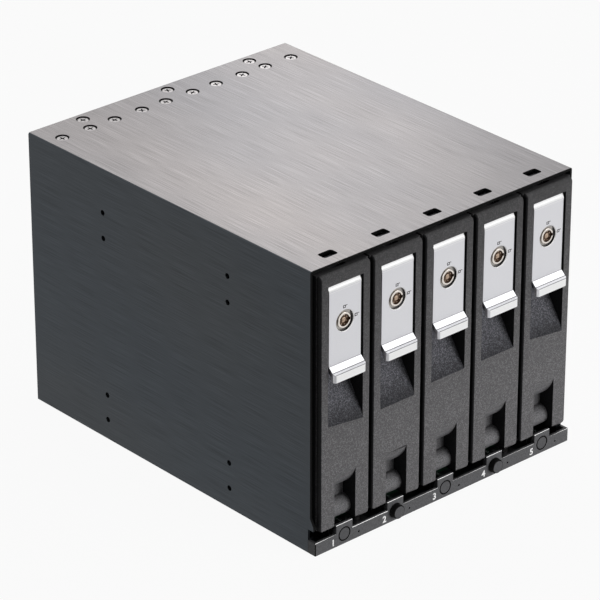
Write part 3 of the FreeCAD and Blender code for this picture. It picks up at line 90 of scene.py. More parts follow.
def addNode(tree, kind, **values):
    # A socket's name is given with underscores for its spaces; another node's output is linked to it
    node = tree.nodes.new(f"ShaderNode{kind}")
    for name, value in values.items():
        socket = node.inputs[name.replace("_", " ")]
        if isinstance(value, bpy.types.NodeSocket):
            tree.links.new(value, socket)
        else:
            socket.default_value = value
    return node


def makeCamera():
    data = bpy.data.cameras.new("mainCamera")
    data.lens = camera["lens"]
    data.clip_start, data.clip_end = camera["clip"]
    holder = addHolder("mainCamera", data)
    aimAt(holder, camera["place"], camera["aim"])
    bpy.context.scene.camera = holder


def seenDirectly(tree, rays):
    # 1 for any of these kinds of ray, and 0 for the others
    path = addNode(tree, "LightPath")
    seen = path.outputs[rays[0]]
    for ray in rays[1:]:
        either = addNode(tree, "Math")
        either.operation = "MAXIMUM"
        tree.links.new(seen, either.inputs[0])
        tree.links.new(path.outputs[ray], either.inputs[1])
        seen = either.outputs[0]
    return seen


def makeWorld():
    world = bpy.data.worlds.new("studio")
    world.use_nodes = True
    tree = world.node_tree
    background = tree.nodes["Background"]
    background.inputs["Color"].default_value = (1, 1, 1, 1)
    seen = seenDirectly(tree, ("Is Camera Ray", "Is Glossy Ray", "Is Transmission Ray"))
    strength = addNode(tree, "MapRange", Value=seen, To_Min=studio["ambient"])
    tree.links.new(strength.outputs["Result"], background.inputs["Strength"])
    bpy.context.scene.world = world


def startFinish(name, metallic, roughness, **sockets):
    material = bpy.data.materials.new(name)
    material.use_nodes = True
    shader = material.node_tree.nodes["Principled BSDF"]
    for socket, value in {"Metallic": metallic, "Roughness": roughness, **sockets}.items():
        shader.inputs[socket.replace("_", " ")].default_value = value
    return material


def splitPlace(tree):
    # The surface's place in object space, as X, Y and Z
    return addNode(tree, "SeparateXYZ", Vector=addNode(tree, "TexCoord").outputs["Object"]).outputs


def floorFinish():
    shade = studio["floorShade"]
    material = startFinish("studioFloor", 0.0, studio["floorRoughness"], Base_Color=(shade, shade, shade, 1))
    tree = material.node_tree
    place = splitPlace(tree)
    corner = addNode(tree, "Math")
    tree.links.new(place["X"], corner.inputs[0])
    tree.links.new(place["Y"], corner.inputs[1])
    # Painted shade: the floor's reflections darken towards the front left corner
    paintedDarkLevel = addNode(tree, "MapRange", Value=corner.outputs[0], From_Min=studio["paintedDarkEnd"],
                   From_Max=studio["paintedDarkStart"], To_Min=studio["paintedDarkMirrored"],
                   To_Max=studio["floorMirrored"])
    seen = seenDirectly(tree, ("Is Camera Ray",))
    level = addNode(tree, "MapRange", Value=seen, To_Min=paintedDarkLevel.outputs["Result"])
    glow = addNode(tree, "Emission", Color=(1, 1, 1, 1), Strength=level.outputs["Result"])
    seen = seenDirectly(tree, ("Is Camera Ray", "Is Glossy Ray"))
    share = addNode(tree, "MapRange", Value=seen, To_Max=studio["floorGlow"])
    blend = addNode(tree, "MixShader", Fac=share.outputs["Result"])
    tree.links.new(tree.nodes["Principled BSDF"].outputs["BSDF"], blend.inputs[1])
    tree.links.new(glow.outputs["Emission"], blend.inputs[2])
    tree.links.new(blend.outputs["Shader"], tree.nodes["Material Output"].inputs["Surface"])
    return material


def makeFloor():
    work = bmesh.new()
    bmesh.ops.create_grid(work, x_segments=1, y_segments=1, size=studio["floorSize"] / 2)
    mesh = bpy.data.meshes.new("studioFloor")
    work.to_mesh(mesh)
    work.free()
    mesh.materials.append(floorFinish())
    addHolder("studioFloor", mesh)


def makeLamps():
    for name, lamp in lamps.items():
        data = bpy.data.lights.new(name, "AREA")
        data.size, data.energy = lamp["size"], lamp["power"]
        holder = addHolder(name, data)
        holder.visible_glossy = lamp.get("mirrored", True)
        aimAt(holder, lamp["place"], studio["lampAim"])


bpy.context.scene.view_settings.view_transform = "Standard"
makeCamera()
makeWorld()
makeFloor()
makeLamps()
print("studio ready")


# Finishes: each is a Principled shader with its pattern in object space

def addTexture(material, kind, stretch, **values):
    # A texture whose grains are as long as stretch says on each axis
    tree = material.node_tree
    mapping = addNode(tree, "Mapping", Vector=addNode(tree, "TexCoord").outputs["Object"],
                      Scale=[1 / (length * mm) for length in stretch])
    return addNode(tree, kind, Vector=mapping.outputs["Vector"], Scale=1.0, **values).outputs


def addNoise(material, stretch, detail=3.0):
    return addTexture(material, "TexNoise", stretch, Detail=detail)["Fac"]


def addCells(material, size):
    # Cells of about that size, each with a tone of its own
    return addTexture(material, "TexVoronoi", (size,) * 3)["Color"]


def shadeBetween(material, factor, dark, light, tones=(0.3, 0.7)):
    ramp = addNode(material.node_tree, "ValToRGB", Fac=factor)
    ends = ramp.color_ramp.elements
    ends[0].position, ends[1].position = tones
    ends[0].color, ends[1].color = (*dark, 1), (*light, 1)
    return ramp.outputs["Color"]


def multiplyColors(material, first, second):
    mix = addNode(material.node_tree, "Mix")
    mix.data_type, mix.blend_type = "RGBA", "MULTIPLY"
    mix.inputs["Factor"].default_value = 1.0
    material.node_tree.links.new(first, mix.inputs["A"])
    material.node_tree.links.new(second, mix.inputs["B"])
    return mix.outputs["Result"]


def setColor(material, socket):
    shader = material.node_tree.nodes["Principled BSDF"]
    material.node_tree.links.new(socket, shader.inputs["Base Color"])


def setRoughness(material, factor, low, high):
    tree = material.node_tree
    reach = addNode(tree, "MapRange", Value=factor, To_Min=low, To_Max=high)
    tree.links.new(reach.outputs["Result"], tree.nodes["Principled BSDF"].inputs["Roughness"])


def addBump(material, factor, height, strength=1.0):
    tree = material.node_tree
    bump = addNode(tree, "Bump", Height=factor, Strength=strength, Distance=height * mm)
    tree.links.new(bump.outputs["Normal"], tree.nodes["Principled BSDF"].inputs["Normal"])


def scaled(color, share):
    return tuple(channel * share for channel in color)


white = (1, 1, 1)
brush = {"bandWidth": 7, "bandRun": 3, "bandShare": 0.25, "clouds": (75, 130, 75), "tones": (0.35, 0.65),
         "cool": (0.98, 1.0, 1.04), "coolShare": 1.4, "warm": (1.0, 0.985, 0.985), "spread": 0.06,
         "depth": 0.02, "strength": 0.5}
mould = {"tones": (0.38, 0.66), "cloud": 40, "cloudShade": 0.93, "rough": 0.1, "smooth": 0.08}
spark = {"tones": (0.45, 0.85), "dark": 0.4, "light": 1.8, "roughness": (0.6, 0.42), "depth": 0.022}
satin = {"spread": 0.05, "depth": 0.004}
zinc = {"dust": 0.5, "dustShade": 0.93, "roughness": (0.34, 0.46)}
clear = {"haze": (0.6, 2.0, 0.6), "roughness": (0.1, 0.22), "through": 0.8, "bending": 1.49}
lacquer = {"tracks": (1.6, 40, 1.6), "tones": (0.47, 0.53), "depth": 0.03, "weave": 0.4, "weaveShade": 0.9,
           "roughness": 0.32, "coat": 0.4, "coatRoughness": 0.15}


def brushedMetal(name, color, contrast, roughness, line, run, patches):
    # Fine brush lines along Y, over bands and broad patches of slightly different tone
    material = startFinish(name, 1.0, roughness)
    lines = addNoise(material, (line, run, line))
    width, length = line * brush["bandWidth"], run * brush["bandRun"]
    bands = addNoise(material, (width, length, width), 2.0)
    fine = shadeBetween(material, lines, scaled(color, 1 - contrast), scaled(color, 1 + contrast))
    broad = shadeBetween(material, bands, scaled(white, 1 - contrast * brush["bandShare"]), white)
    clouds = addNoise(material, brush["clouds"], 1.0)
    cool = scaled(brush["cool"], 1 - patches * brush["coolShare"])
    tone = shadeBetween(material, clouds, cool, brush["warm"], brush["tones"])
    setColor(material, multiplyColors(material, multiplyColors(material, fine, broad), tone))
    setRoughness(material, lines, roughness - brush["spread"], roughness + brush["spread"])
    addBump(material, lines, brush["depth"], brush["strength"])
    return material


def grainedPlastic(name, color, grain, height, speckle=0.2, roughness=0.4, gloss=0.3):
    # Spark-eroded mould texture: small bright grains on a dark skin
    material = startFinish(name, 0.0, roughness, Specular_IOR_Level=gloss)
    grains = addNoise(material, (grain,) * 3, 2.0)
    clouds = addNoise(material, (grain * mould["cloud"],) * 3, 2.0)
    dark, light = scaled(color, 1 - speckle), scaled(color, 1 + speckle)
    fine = shadeBetween(material, grains, dark, light, mould["tones"])
    broad = shadeBetween(material, clouds, scaled(white, mould["cloudShade"]), white)
    setColor(material, multiplyColors(material, fine, broad))
    setRoughness(material, grains, roughness + mould["rough"], roughness - mould["smooth"])
    addBump(material, grains, height)
    return material


def sparkledPlastic(name, color, grain, sparkle, fade, gloss):
    # Coarser mould texture whose single grains are painted brighter as glints; its tone falls to a share between
    # two heights as painted shade
    start, end, share = fade
    material = startFinish(name, 0.0, spark["roughness"][0], Specular_IOR_Level=gloss)
    tree = material.node_tree
    cells = addCells(material, grain)
    grains = addNoise(material, (grain,) * 3, 2.0)
    dark, light = scaled(color, 1 - sparkle * spark["dark"]), scaled(color, 1 + sparkle * spark["light"])
    fine = shadeBetween(material, cells, dark, light, spark["tones"])
    reach = addNode(tree, "MapRange", Value=splitPlace(tree)["Z"], From_Min=start * mm,
                    From_Max=end * mm, To_Min=1.0, To_Max=share)
    setColor(material, multiplyColors(material, fine, reach.outputs["Result"]))
    setRoughness(material, grains, *spark["roughness"])
    addBump(material, grains, spark["depth"])
    return material


def satinMetal(name, color, grain=0.12, contrast=0.04, roughness=0.34):
    material = startFinish(name, 1.0, roughness)
    grains = addNoise(material, (grain,) * 3)
    dark, light = scaled(color, 1 - contrast), scaled(color, 1 + contrast)
    setColor(material, shadeBetween(material, grains, dark, light))
    setRoughness(material, grains, roughness - satin["spread"], roughness + satin["spread"])
    addBump(material, grains, satin["depth"])
    return material


def zincPlate(name, dark, light, spangle):
    material = startFinish(name, 1.0, zinc["roughness"][0])
    flakes = shadeBetween(material, addCells(material, spangle), dark, light, (0, 1))
    fine = addNoise(material, (zinc["dust"],) * 3)
    dust = shadeBetween(material, fine, scaled(white, zinc["dustShade"]), white)
    setColor(material, multiplyColors(material, flakes, dust))
    setRoughness(material, fine, *zinc["roughness"])
    return material


def clearMoulding(name, dark, light):
    # Light pipe: clear, with the faint haze of its moulding
    material = startFinish(name, 0.0, clear["roughness"][0], Transmission_Weight=clear["through"],
                           IOR=clear["bending"])
    haze = addNoise(material, clear["haze"], 2.0)
    setColor(material, shadeBetween(material, haze, dark, light))
    setRoughness(material, haze, *clear["roughness"])
    return material


def solderMask(name, dark, light):
    # Lacquer over copper tracks
    material = startFinish(name, 0.0, lacquer["roughness"], Coat_Weight=lacquer["coat"],
                           Coat_Roughness=lacquer["coatRoughness"])
    tracks = addNoise(material, lacquer["tracks"], 0.0)
    mask = shadeBetween(material, tracks, dark, light, lacquer["tones"])
    cloth = addNoise(material, (lacquer["weave"],) * 3, 2.0)
    weave = shadeBetween(material, cloth, scaled(white, lacquer["weaveShade"]), white)
    setColor(material, multiplyColors(material, mask, weave))
    addBump(material, tracks, lacquer["depth"])
    return material


finishPlans = {
    brushedMetal: {
        "topMetal": dict(color=(0.312, 0.296, 0.293), contrast=0.36, roughness=0.42, line=0.15, run=26.0,
                         patches=0.09),
        "sideMetal": dict(color=(0.057, 0.064, 0.070), contrast=0.28, roughness=0.45, line=0.25, run=22.0,
                          patches=0.03),
    },
    sparkledPlastic: {
        # Painted shade: the bezel's plastic darkens towards the top, the scoop's towards its foot
        "bezelPlastic": dict(color=(0.090, 0.088, 0.091), grain=0.40, sparkle=0.40, fade=(40, 124, 0.42),
                             gloss=0.25),
        "scoopPlastic": dict(color=(0.068, 0.068, 0.076), grain=0.34, sparkle=0.75, fade=(65, 57, 0.35),
                             gloss=0.14),
    },
    grainedPlastic: {
        "bezelSide": dict(color=(0.010, 0.010, 0.011), grain=0.6, height=0.01, speckle=0.3, roughness=0.55,
                          gloss=0.12),
        "rollPlastic": dict(color=(0.130, 0.128, 0.133), grain=0.40, height=0.04, speckle=0.45,
                            roughness=0.42, gloss=0.35),
        "railPlastic": dict(color=(0.080, 0.080, 0.084), grain=0.6, height=0.03, roughness=0.45),
        "blackPlastic": dict(color=(0.014, 0.014, 0.015), grain=0.25, height=0.02),
        "fanPlastic": dict(color=(0.018, 0.018, 0.019), grain=0.4, height=0.01, speckle=0.1, roughness=0.35),
        "guidePlastic": dict(color=(0.020, 0.020, 0.021), grain=0.35, height=0.02, roughness=0.5),
        "whitePlastic": dict(color=(0.70, 0.68, 0.62), grain=0.5, height=0.01, speckle=0.04),
        "blackInside": dict(color=(0.006, 0.006, 0.006), grain=0.5, height=0.01, roughness=0.8, gloss=0.1),
        "buttonPlastic": dict(color=(0.066, 0.066, 0.070), grain=0.5, height=0.02, speckle=0.15),
        "ceramic": dict(color=(0.42, 0.34, 0.26), grain=0.3, height=0.01, speckle=0.1),
        "whitePrint": dict(color=(0.85, 0.85, 0.85), grain=0.2, height=0.002, speckle=0.03, roughness=0.5),
    },
    satinMetal: {
        "leverMetal": dict(color=(0.80, 0.80, 0.83)),
        "leverBright": dict(color=(0.98, 0.98, 0.98)),
        "darkSteel": dict(color=(0.05, 0.05, 0.055), roughness=0.4),
        "leverLine": dict(color=(0.22, 0.22, 0.23)),
        "lockNickel": dict(color=(0.86, 0.80, 0.74), roughness=0.22),
        "lockSeat": dict(color=(0.42, 0.40, 0.38)),
        "lockBronze": dict(color=(0.48, 0.36, 0.27), grain=0.5, contrast=0.25, roughness=0.32),
        "lockCavity": dict(color=(0.17, 0.12, 0.09), grain=0.4, contrast=0.35, roughness=0.4),
        "screwSteel": dict(color=(0.72, 0.72, 0.71), grain=0.4, contrast=0.08, roughness=0.3),
        "caseScrewSteel": dict(color=(0.46, 0.44, 0.44), grain=0.4, contrast=0.08, roughness=0.3),
        "goldPlate": dict(color=(0.80, 0.55, 0.20), roughness=0.25),
        "guardChrome": dict(color=(0.72, 0.72, 0.74), roughness=0.12),
        "railEdge": dict(color=(0.95, 0.95, 0.95), roughness=0.6),
    },
    zincPlate: {"zincSteel": dict(dark=(0.5, 0.515, 0.53), light=(0.6, 0.61, 0.62), spangle=9)},
    solderMask: {
        "circuitGreen": dict(dark=(0.008, 0.085, 0.03), light=(0.014, 0.14, 0.05)),
        "circuitDark": dict(dark=(0.00096, 0.0102, 0.0036), light=(0.00168, 0.0168, 0.006)),
    },
    clearMoulding: {"clearPlastic": dict(dark=(0.78, 0.84, 0.84), light=(0.92, 0.95, 0.95))},
}
finishes = {name: make(name, **plan) for make, plans in finishPlans.items() for name, plan in plans.items()}
slotFinishes = {
    "case_metal": "sideMetal", "zinc_steel": "zincSteel", "screw_steel": "screwSteel",
    "rail_plastic": "railPlastic", "bezel_plastic": "bezelPlastic", "guide_plastic": "guidePlastic",
    "black_plastic": "blackPlastic", "white_plastic": "whitePlastic", "clear_plastic": "clearPlastic",
    "circuit_board": "circuitGreen", "lever_metal": "leverMetal", "lock_brass": "lockBronze",
    "guard_chrome": "guardChrome",
}
nodeSlots = {part["node"]: part["material_slot"] for part in frame["record"]["subparts"]}
for node, solid in frame["nodes"].items():
    for socket in solid.material_slots:
        socket.material = finishes[slotFinishes[nodeSlots[node]]]
print("finishes ready")


# Making pieces

making = {"slimmest": 0.004, "merge": 0.002, "hair": 0.01, "touch": 0.1, "flat": 0.5, "sharpEdge": 25}


def finishPiece(work, name, body, node, looks, sharp=30, standsFor=True):
    # A visible piece, which hides the node it stands for unless it only adds to it
    bmesh.ops.dissolve_degenerate(work, dist=making["slimmest"] * mm, edges=work.edges)
    for face in work.faces:
        face.smooth = True
    mesh = bpy.data.meshes.new(name)
    work.to_mesh(mesh)
    work.free()
    for look in looks:
        mesh.materials.append(finishes[look])
    mesh.set_sharp_from_angle(angle=math.radians(sharp))
    piece = addHolder(name, mesh)
    flatten = piece.modifiers.new("flatFaces", "WEIGHTED_NORMAL")
    flatten.keep_sharp = True
    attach(piece, body)
    if standsFor:
        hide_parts(node)


def copySolid(node):
    # The node's own mesh with its flat faces made whole
    work = bmesh.new()
    work.from_mesh(frame["nodes"][node].data)
    bmesh.ops.remove_doubles(work, verts=work.verts, dist=making["merge"] * mm)
    bmesh.ops.dissolve_limit(work, angle_limit=math.radians(making["flat"]), verts=work.verts,
                             edges=work.edges)
    return work


def isSharp(edge):
    return len(edge.link_faces) == 2 and edge.calc_face_angle(0) > math.radians(making["sharpEdge"])


def isLevel(edge):
    return abs(edge.verts[0].co.z - edge.verts[1].co.z) < making["hair"] * mm


def edgeLine(edge):
    return (edge.verts[0].co - edge.verts[1].co).normalized()


def roundEdges(work, width, segments=3, shortest=0.0, chosen=None, look=-1, clamp=True):
    # Bevel the sharp edges that pass the choice, by the width in millimetres
    edges = []
    for edge in work.edges:
        if isSharp(edge) and edge.calc_length() >= shortest * mm:
            if chosen is None or chosen((edge.verts[0].co + edge.verts[1].co) / 2, edge):
                edges.append(edge)
    bmesh.ops.bevel(work, geom=edges, offset=width * mm, offset_type="OFFSET", segments=segments,
                    profile=0.5, affect="EDGES", clamp_overlap=clamp, material=look)


def solidBoxes(node):
    # Low and high corner of each separate solid in a node
    work = copySolid(node)
    left = set(work.verts)
    boxes = []
    while left:
        start = left.pop()
        reached, queue = [start], [start]
        while queue:
            for edge in queue.pop().link_edges:
                for vert in edge.verts:
                    if vert in left:
                        left.remove(vert)
                        reached.append(vert)
                        queue.append(vert)
        boxes.append(tuple(Vector([pick(vert.co[axis] for vert in reached) for axis in range(3)])
                           for pick in (min, max)))
    work.free()
    return sorted(boxes, key=lambda box: tuple(round(number, 5) for number in box[0]))


def dressNode(node, name, look, body="cage", width=0.0, shortest=1.5):
    # A node's own shape with a finish, and its longer edges rounded
    work = copySolid(node)
    if width:
        roundEdges(work, width, 2, shortest)
    finishPiece(work, name, body, node, [look])


def paint(parts, look):
    # The faces that meet these vertices or edges
    for face in {face for part in parts for face in part.link_faces}:
        face.material_index = look


def addBox(work, low, high, look=0):
    low, high = Vector(low), Vector(high)
    made = bmesh.ops.create_cube(work, size=1.0)["verts"]
    shape = Matrix.Translation((low + high) / 2) @ Matrix.Diagonal((*(high - low), 1))
    bmesh.ops.transform(work, matrix=shape, verts=made)
    paint(made, look)


def addRod(work, start, end, radius, endRadius=None, segments=32, look=0):
    start, end = Vector(start), Vector(end)
    along = end - start
    made = bmesh.ops.create_cone(
        work, cap_ends=True, segments=segments, radius1=radius,
        radius2=radius if endRadius is None else endRadius, depth=along.length)["verts"]
    turn = along.to_track_quat("Z", "Y").to_matrix().to_4x4()
    bmesh.ops.transform(work, matrix=Matrix.Translation((start + end) / 2) @ turn, verts=made)
    paint(made, look)


def addRing(work, middle, radius, wire, around=64, across=10):
    # Wire ring that lies across the Y axis
    start = Vector(middle) + Vector((radius, 0, 0))
    made = bmesh.ops.create_circle(work, segments=across, radius=wire)["verts"]
    bmesh.ops.translate(work, vec=start, verts=made)
    edges = list({edge for vert in made for edge in vert.link_edges})
    bmesh.ops.spin(work, geom=made + edges, cent=middle, axis=(0, 1, 0), steps=around,
                   angle=math.tau, use_merge=True)
    bmesh.ops.remove_doubles(work, verts=work.verts, dist=making["merge"] / 2 * mm)


def addLoop(work, points):
    verts = [work.verts.new(point) for point in points]
    return [work.edges.new(pair) for pair in zip(verts, verts[1:] + verts[:1])]


def circlePoints(middle, radius, axes, count=40, skip=None):
    # Points round a circle in the plane of two axes, apart from a skipped half angle about zero
    first, second = Vector(axes[0]), Vector(axes[1])
    points = []
    for step in range(count):
        turn = math.tau * step / count
        if skip is None or skip < turn < math.tau - skip:
            points.append(Vector(middle) + radius * (math.cos(turn) * first + math.sin(turn) * second))
    return points


def fillBetween(work, edges, normal, look=0):
    made = bmesh.ops.triangle_fill(work, edges=edges, normal=normal, use_beauty=True)["geom"]
    for face in made:
        if isinstance(face, bmesh.types.BMFace):
            face.material_index = look


def extrudeEdges(work, edges):
    made = bmesh.ops.extrude_edge_only(work, edges=edges)["geom"]
    kinds = (bmesh.types.BMVert, bmesh.types.BMEdge)
    return ([item for item in made if isinstance(item, kind)] for kind in kinds)


def sinkLoop(work, edges, depth, taper, look):
    # Walls down from a closed loop, drawn in by a taper, and a floor across their foot
    verts, foot = extrudeEdges(work, edges)
    middle = sum((vert.co for vert in verts), Vector()) / len(verts)
    for vert in verts:
        vert.co = middle + (vert.co - middle) * taper + Vector(depth)
    paint(foot, look)
    fillBetween(work, foot, -Vector(depth), look)


frontEdge = -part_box("rear_panel")[1].y
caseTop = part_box("shell_cover")[1].z
trayPlaces = {tray: Vector(joints[f"lever_swing_{tray}"]["pos_m"]) for tray in trays}
lockPlaces = {tray: Vector(joints[f"lock_turn_{tray}"]["pos_m"]) for tray in trays}


# Screws

crossScrew = {"headRadius": 2.4, "sink": 0.45, "edge": 0.12, "drop": 0.072, "neck": 1.2, "shank": 1.45,
              "tip": 0.4, "tipDraw": 0.35, "arm": 1.5, "width": 0.75, "armTip": 0.42, "depth": 0.9,
              "taper": 0.45, "turnStep": 47}


def crossPoints(middle, axes, arm, width):
    # Outline of a plus sign, each arm's end a little narrower than its root
    first, second = Vector(axes[0]), Vector(axes[1])
    half, tip = width / 2, width * crossScrew["armTip"]
    corner = [(arm, -tip), (arm, tip), (half, half)]
    points = []
    for cosine, sine in ((1, 0), (0, 1), (-1, 0), (0, -1)):
        for along, aside in corner:
            turned = (along * cosine - aside * sine, along * sine + aside * cosine)
            points.append(Vector(middle) + first * turned[0] + second * turned[1])
    return points


def addCrossHead(work, middle, axes, outward, radius, edge, recess):
    # Flat head's face with a cross recess, whose walls and floor take the second finish as painted shade; returns
    # the face's outer loop
    first, second = (Matrix.Rotation(recess["turn"], 3, outward) @ Vector(axis) for axis in axes)
    rim = addLoop(work, circlePoints(middle, (radius - edge) * mm, axes))
    cross = addLoop(work, crossPoints(middle, (first, second), recess["arm"] * mm, recess["width"] * mm))
    fillBetween(work, rim + cross, outward)
    sinkLoop(work, cross, -Vector(outward) * recess["depth"] * mm, recess["taper"], 1)
    return rim


def extrudeLoop(work, edges, middle, shift, radius):
    # Next loop of a turned form: moved along its axis and set to a radius
    verts, foot = extrudeEdges(work, edges)
    for vert in verts:
        away = vert.co - Vector(middle)
        away -= away.project(Vector(shift)) if Vector(shift).length else Vector()
        vert.co = Vector(middle) + away.normalized() * radius * mm + Vector(shift)
    paint(foot, 0)
    return foot


def addCountersunkScrew(work, box, turn):
    low, high = box
    top = high.z > caseTop / 2
    outward = Vector((0, 0, 1 if top else -1))
    sink = crossScrew["sink"] * mm
    face = Vector(((low.x + high.x) / 2, (low.y + high.y) / 2, high.z - sink if top else low.z + sink))
    axes = ((1, 0, 0), (0, 1, 0))
    rim = addCrossHead(work, face, axes, outward, crossScrew["headRadius"], crossScrew["edge"],
                       {**crossScrew, "turn": turn})
    length = high.z - low.z
    end, shank = length / mm - crossScrew["sink"], crossScrew["shank"]
    steps = ((crossScrew["drop"], crossScrew["headRadius"]), (crossScrew["neck"], shank),
             (end - crossScrew["tip"], shank), (end, shank - crossScrew["tipDraw"]))
    for depth, radius in steps:
        rim = extrudeLoop(work, rim, face, -outward * depth * mm, radius)
    fillBetween(work, rim, -outward)


def makeCaseScrews():
    work = bmesh.new()
    for index, box in enumerate(solidBoxes("case_screws")):
        addCountersunkScrew(work, box, math.radians(index * crossScrew["turnStep"] % 90))
    finishPiece(work, "caseScrews", "cage", "case_screws", ["caseScrewSteel", "darkSteel"])


# Case

case = {"edge": 0.25, "shortest": 8.0, "windowCorner": 1.1, "windowStart": 1.0, "windowReach": 12.0,
        "bend": 3.0, "skin": 0.3, "cutEdge": 0.5, "upward": 0.9, "sideward": 0.95}


def makeCase():
    work = copySolid("shell_cover")
    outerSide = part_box("shell_cover")[1].x

    def inTop(middle):
        return middle.z > caseTop - case["bend"] * mm and abs(middle.x) < outerSide - case["bend"] * mm

    def windowCorner(middle, edge):
        inRow = case["windowStart"] * mm < middle.y - frontEdge < case["windowReach"] * mm
        return abs(edgeLine(edge).z) > 0.99 and inTop(middle) and inRow

    for vert in work.verts:
        if vert.co.x > 0 and vert.co.y < frontEdge:
            vert.co.y = frontEdge    # only the left front edge curls over the rail
    roundEdges(work, case["windowCorner"], segments=4, shortest=0.1, chosen=windowCorner)
    roundEdges(work, case["edge"], segments=2, shortest=case["shortest"])
    for face in work.faces:
        middle = face.calc_center_median()
        cutEdge = abs(face.normal.x) < case["sideward"] and middle.y < frontEdge + case["cutEdge"] * mm
        # The top takes a lighter copy of the brushed metal than the sides: painted light from above
        if face.normal.z > case["upward"] and middle.z > caseTop - case["skin"] * mm:
            face.material_index = 0
        elif cutEdge or inTop(middle) and face.normal.z > -case["upward"]:
            face.material_index = 2    # countersinks, window walls and the cut front edge, painted black as shade
        else:
            face.material_index = 1
    finishPiece(work, "caseCover", "cage", "shell_cover", ["topMetal", "sideMetal", "blackInside"])
    dressNode("bottom_plate", "floorSheet", "sideMetal")
    dressNode("rear_panel", "rearPanel", "zincSteel")
    makeCaseScrews()
    print("case ready")


makeCase()


# Trays

bezel = {"edge": 0.35, "side": 1.0, "scoopFoot": 2.2, "footLow": 50.0, "footHigh": 65.0, "scoopLow": 56.0,
         "scoopHigh": 84.0, "notchTop": 32.0, "notchBack": 8.0, "sunk": 1.0, "sideTurn": 0.45, "slope": 0.2}
lever = {"edge": 0.14, "corner": 1.0, "mouth": 0.32, "shadedBehind": 2.7, "plateProud": 2.9, "lipDepth": 0.3,
         "cornerDrop": 2.0, "cornerOut": 8.0, "mouthReach": 0.05, "plateTop": 3.0, "slope": 0.3,
         "slopeHeights": (2, 8), "creaseShades": ((3.32, 3.47), (3.93, 4.14), (6.02, 6.25))}
lock = {"mouthRadius": 4.6, "mouthEdge": 0.35, "around": 48, "plugRadius": 3.4, "ringRadius": 2.62,
        "edge": 0.12, "depth": 0.95, "slot": 0.6, "slotEnd": 3.2, "post": 1.35, "postNeck": 0.45,
        "neck": 0.2, "tip": 0.6, "rise": 0.25, "pins": 7, "pinRadius": 0.26, "pinTop": 0.6,
        "camHalf": 2.0, "camThick": 1.0}
plateScrew = {"edge": 0.15}

bezelLooks = ["bezelPlastic", "bezelSide", "scoopPlastic", "rollPlastic"]
leverLooks = ["leverMetal", "darkSteel", "railEdge", "blackInside", "leverLine", "lockSeat", "leverBright"]


def makeBezel(tray):
    node = f"bezel_{tray}"
    work = copySolid(node)
    low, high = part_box(node)
    pivot = trayPlaces[tray]
    scoopShadeLook = bezelLooks.index("scoopPlastic")

    def inFace(middle):
        return middle.y < low.y + making["touch"] * mm

    def scoopFoot(middle, edge):
        return isLevel(edge) and inFace(middle) and bezel["footLow"] * mm < middle.z < bezel["footHigh"] * mm

    def outerSide(middle, edge):
        atSide = min(middle.x - low.x, high.x - middle.x) < making["touch"] * mm
        return abs(edgeLine(edge).z) > 0.9 and inFace(middle) and atSide

    # The scoop's rounded foot and sloped face take the darker scoop plastic, painted shade under the lever's lip
    roundEdges(work, bezel["scoopFoot"], 5, 5.0, scoopFoot, scoopShadeLook, clamp=False)
    roundEdges(work, bezel["side"], segments=4, shortest=5.0, chosen=outerSide)
    roundEdges(work, bezel["edge"], 2, 3.0, lambda middle, edge: middle.y < pivot.y + 1 * mm)
    notchBack = frontEdge + bezel["notchBack"] * mm
    for face in work.faces:
        middle = face.calc_center_median()
        sunk = middle.y > low.y + bezel["sunk"] * mm
        inNotch = sunk and middle.z < bezel["notchTop"] * mm and middle.y < notchBack
        inScoop = sunk and bezel["scoopLow"] * mm < middle.z < bezel["scoopHigh"] * mm
        # Faces turned sideways are painted near black, the shade in the gaps between trays
        if abs(face.normal.x) > bezel["sideTurn"]:
            face.material_index = bezelLooks.index("bezelSide")
        elif inScoop and face.normal.y < -bezel["slope"] and face.normal.z > bezel["slope"]:
            face.material_index = scoopShadeLook
        elif inNotch and face.normal.y < -bezel["slope"]:
            face.material_index = bezelLooks.index("rollPlastic")
    finishPiece(work, f"trayBezel_{tray}", f"tray_{tray}", node, bezelLooks, sharp=35)


def scoreBands(work, foot):
    # Grey bands painted along the creases of the slope above the lip as shade, between two heights
    def slopes():
        start, end = (foot + height * mm for height in lever["slopeHeights"])
        return [face for face in work.faces if min(face.normal.z, -face.normal.y) > lever["slope"]
                and start < face.calc_center_median().z < end]

    for low, high in lever["creaseShades"]:
        for height in (low, high):
            parts = {part for face in slopes() for part in (face, *face.edges, *face.verts)}
            bmesh.ops.bisect_plane(work, geom=list(parts), plane_co=(0, 0, foot + height * mm),
                                   plane_no=(0, 0, 1))
        for face in slopes():
            if low * mm < face.calc_center_median().z - foot < high * mm:
                face.material_index = leverLooks.index("leverLine")


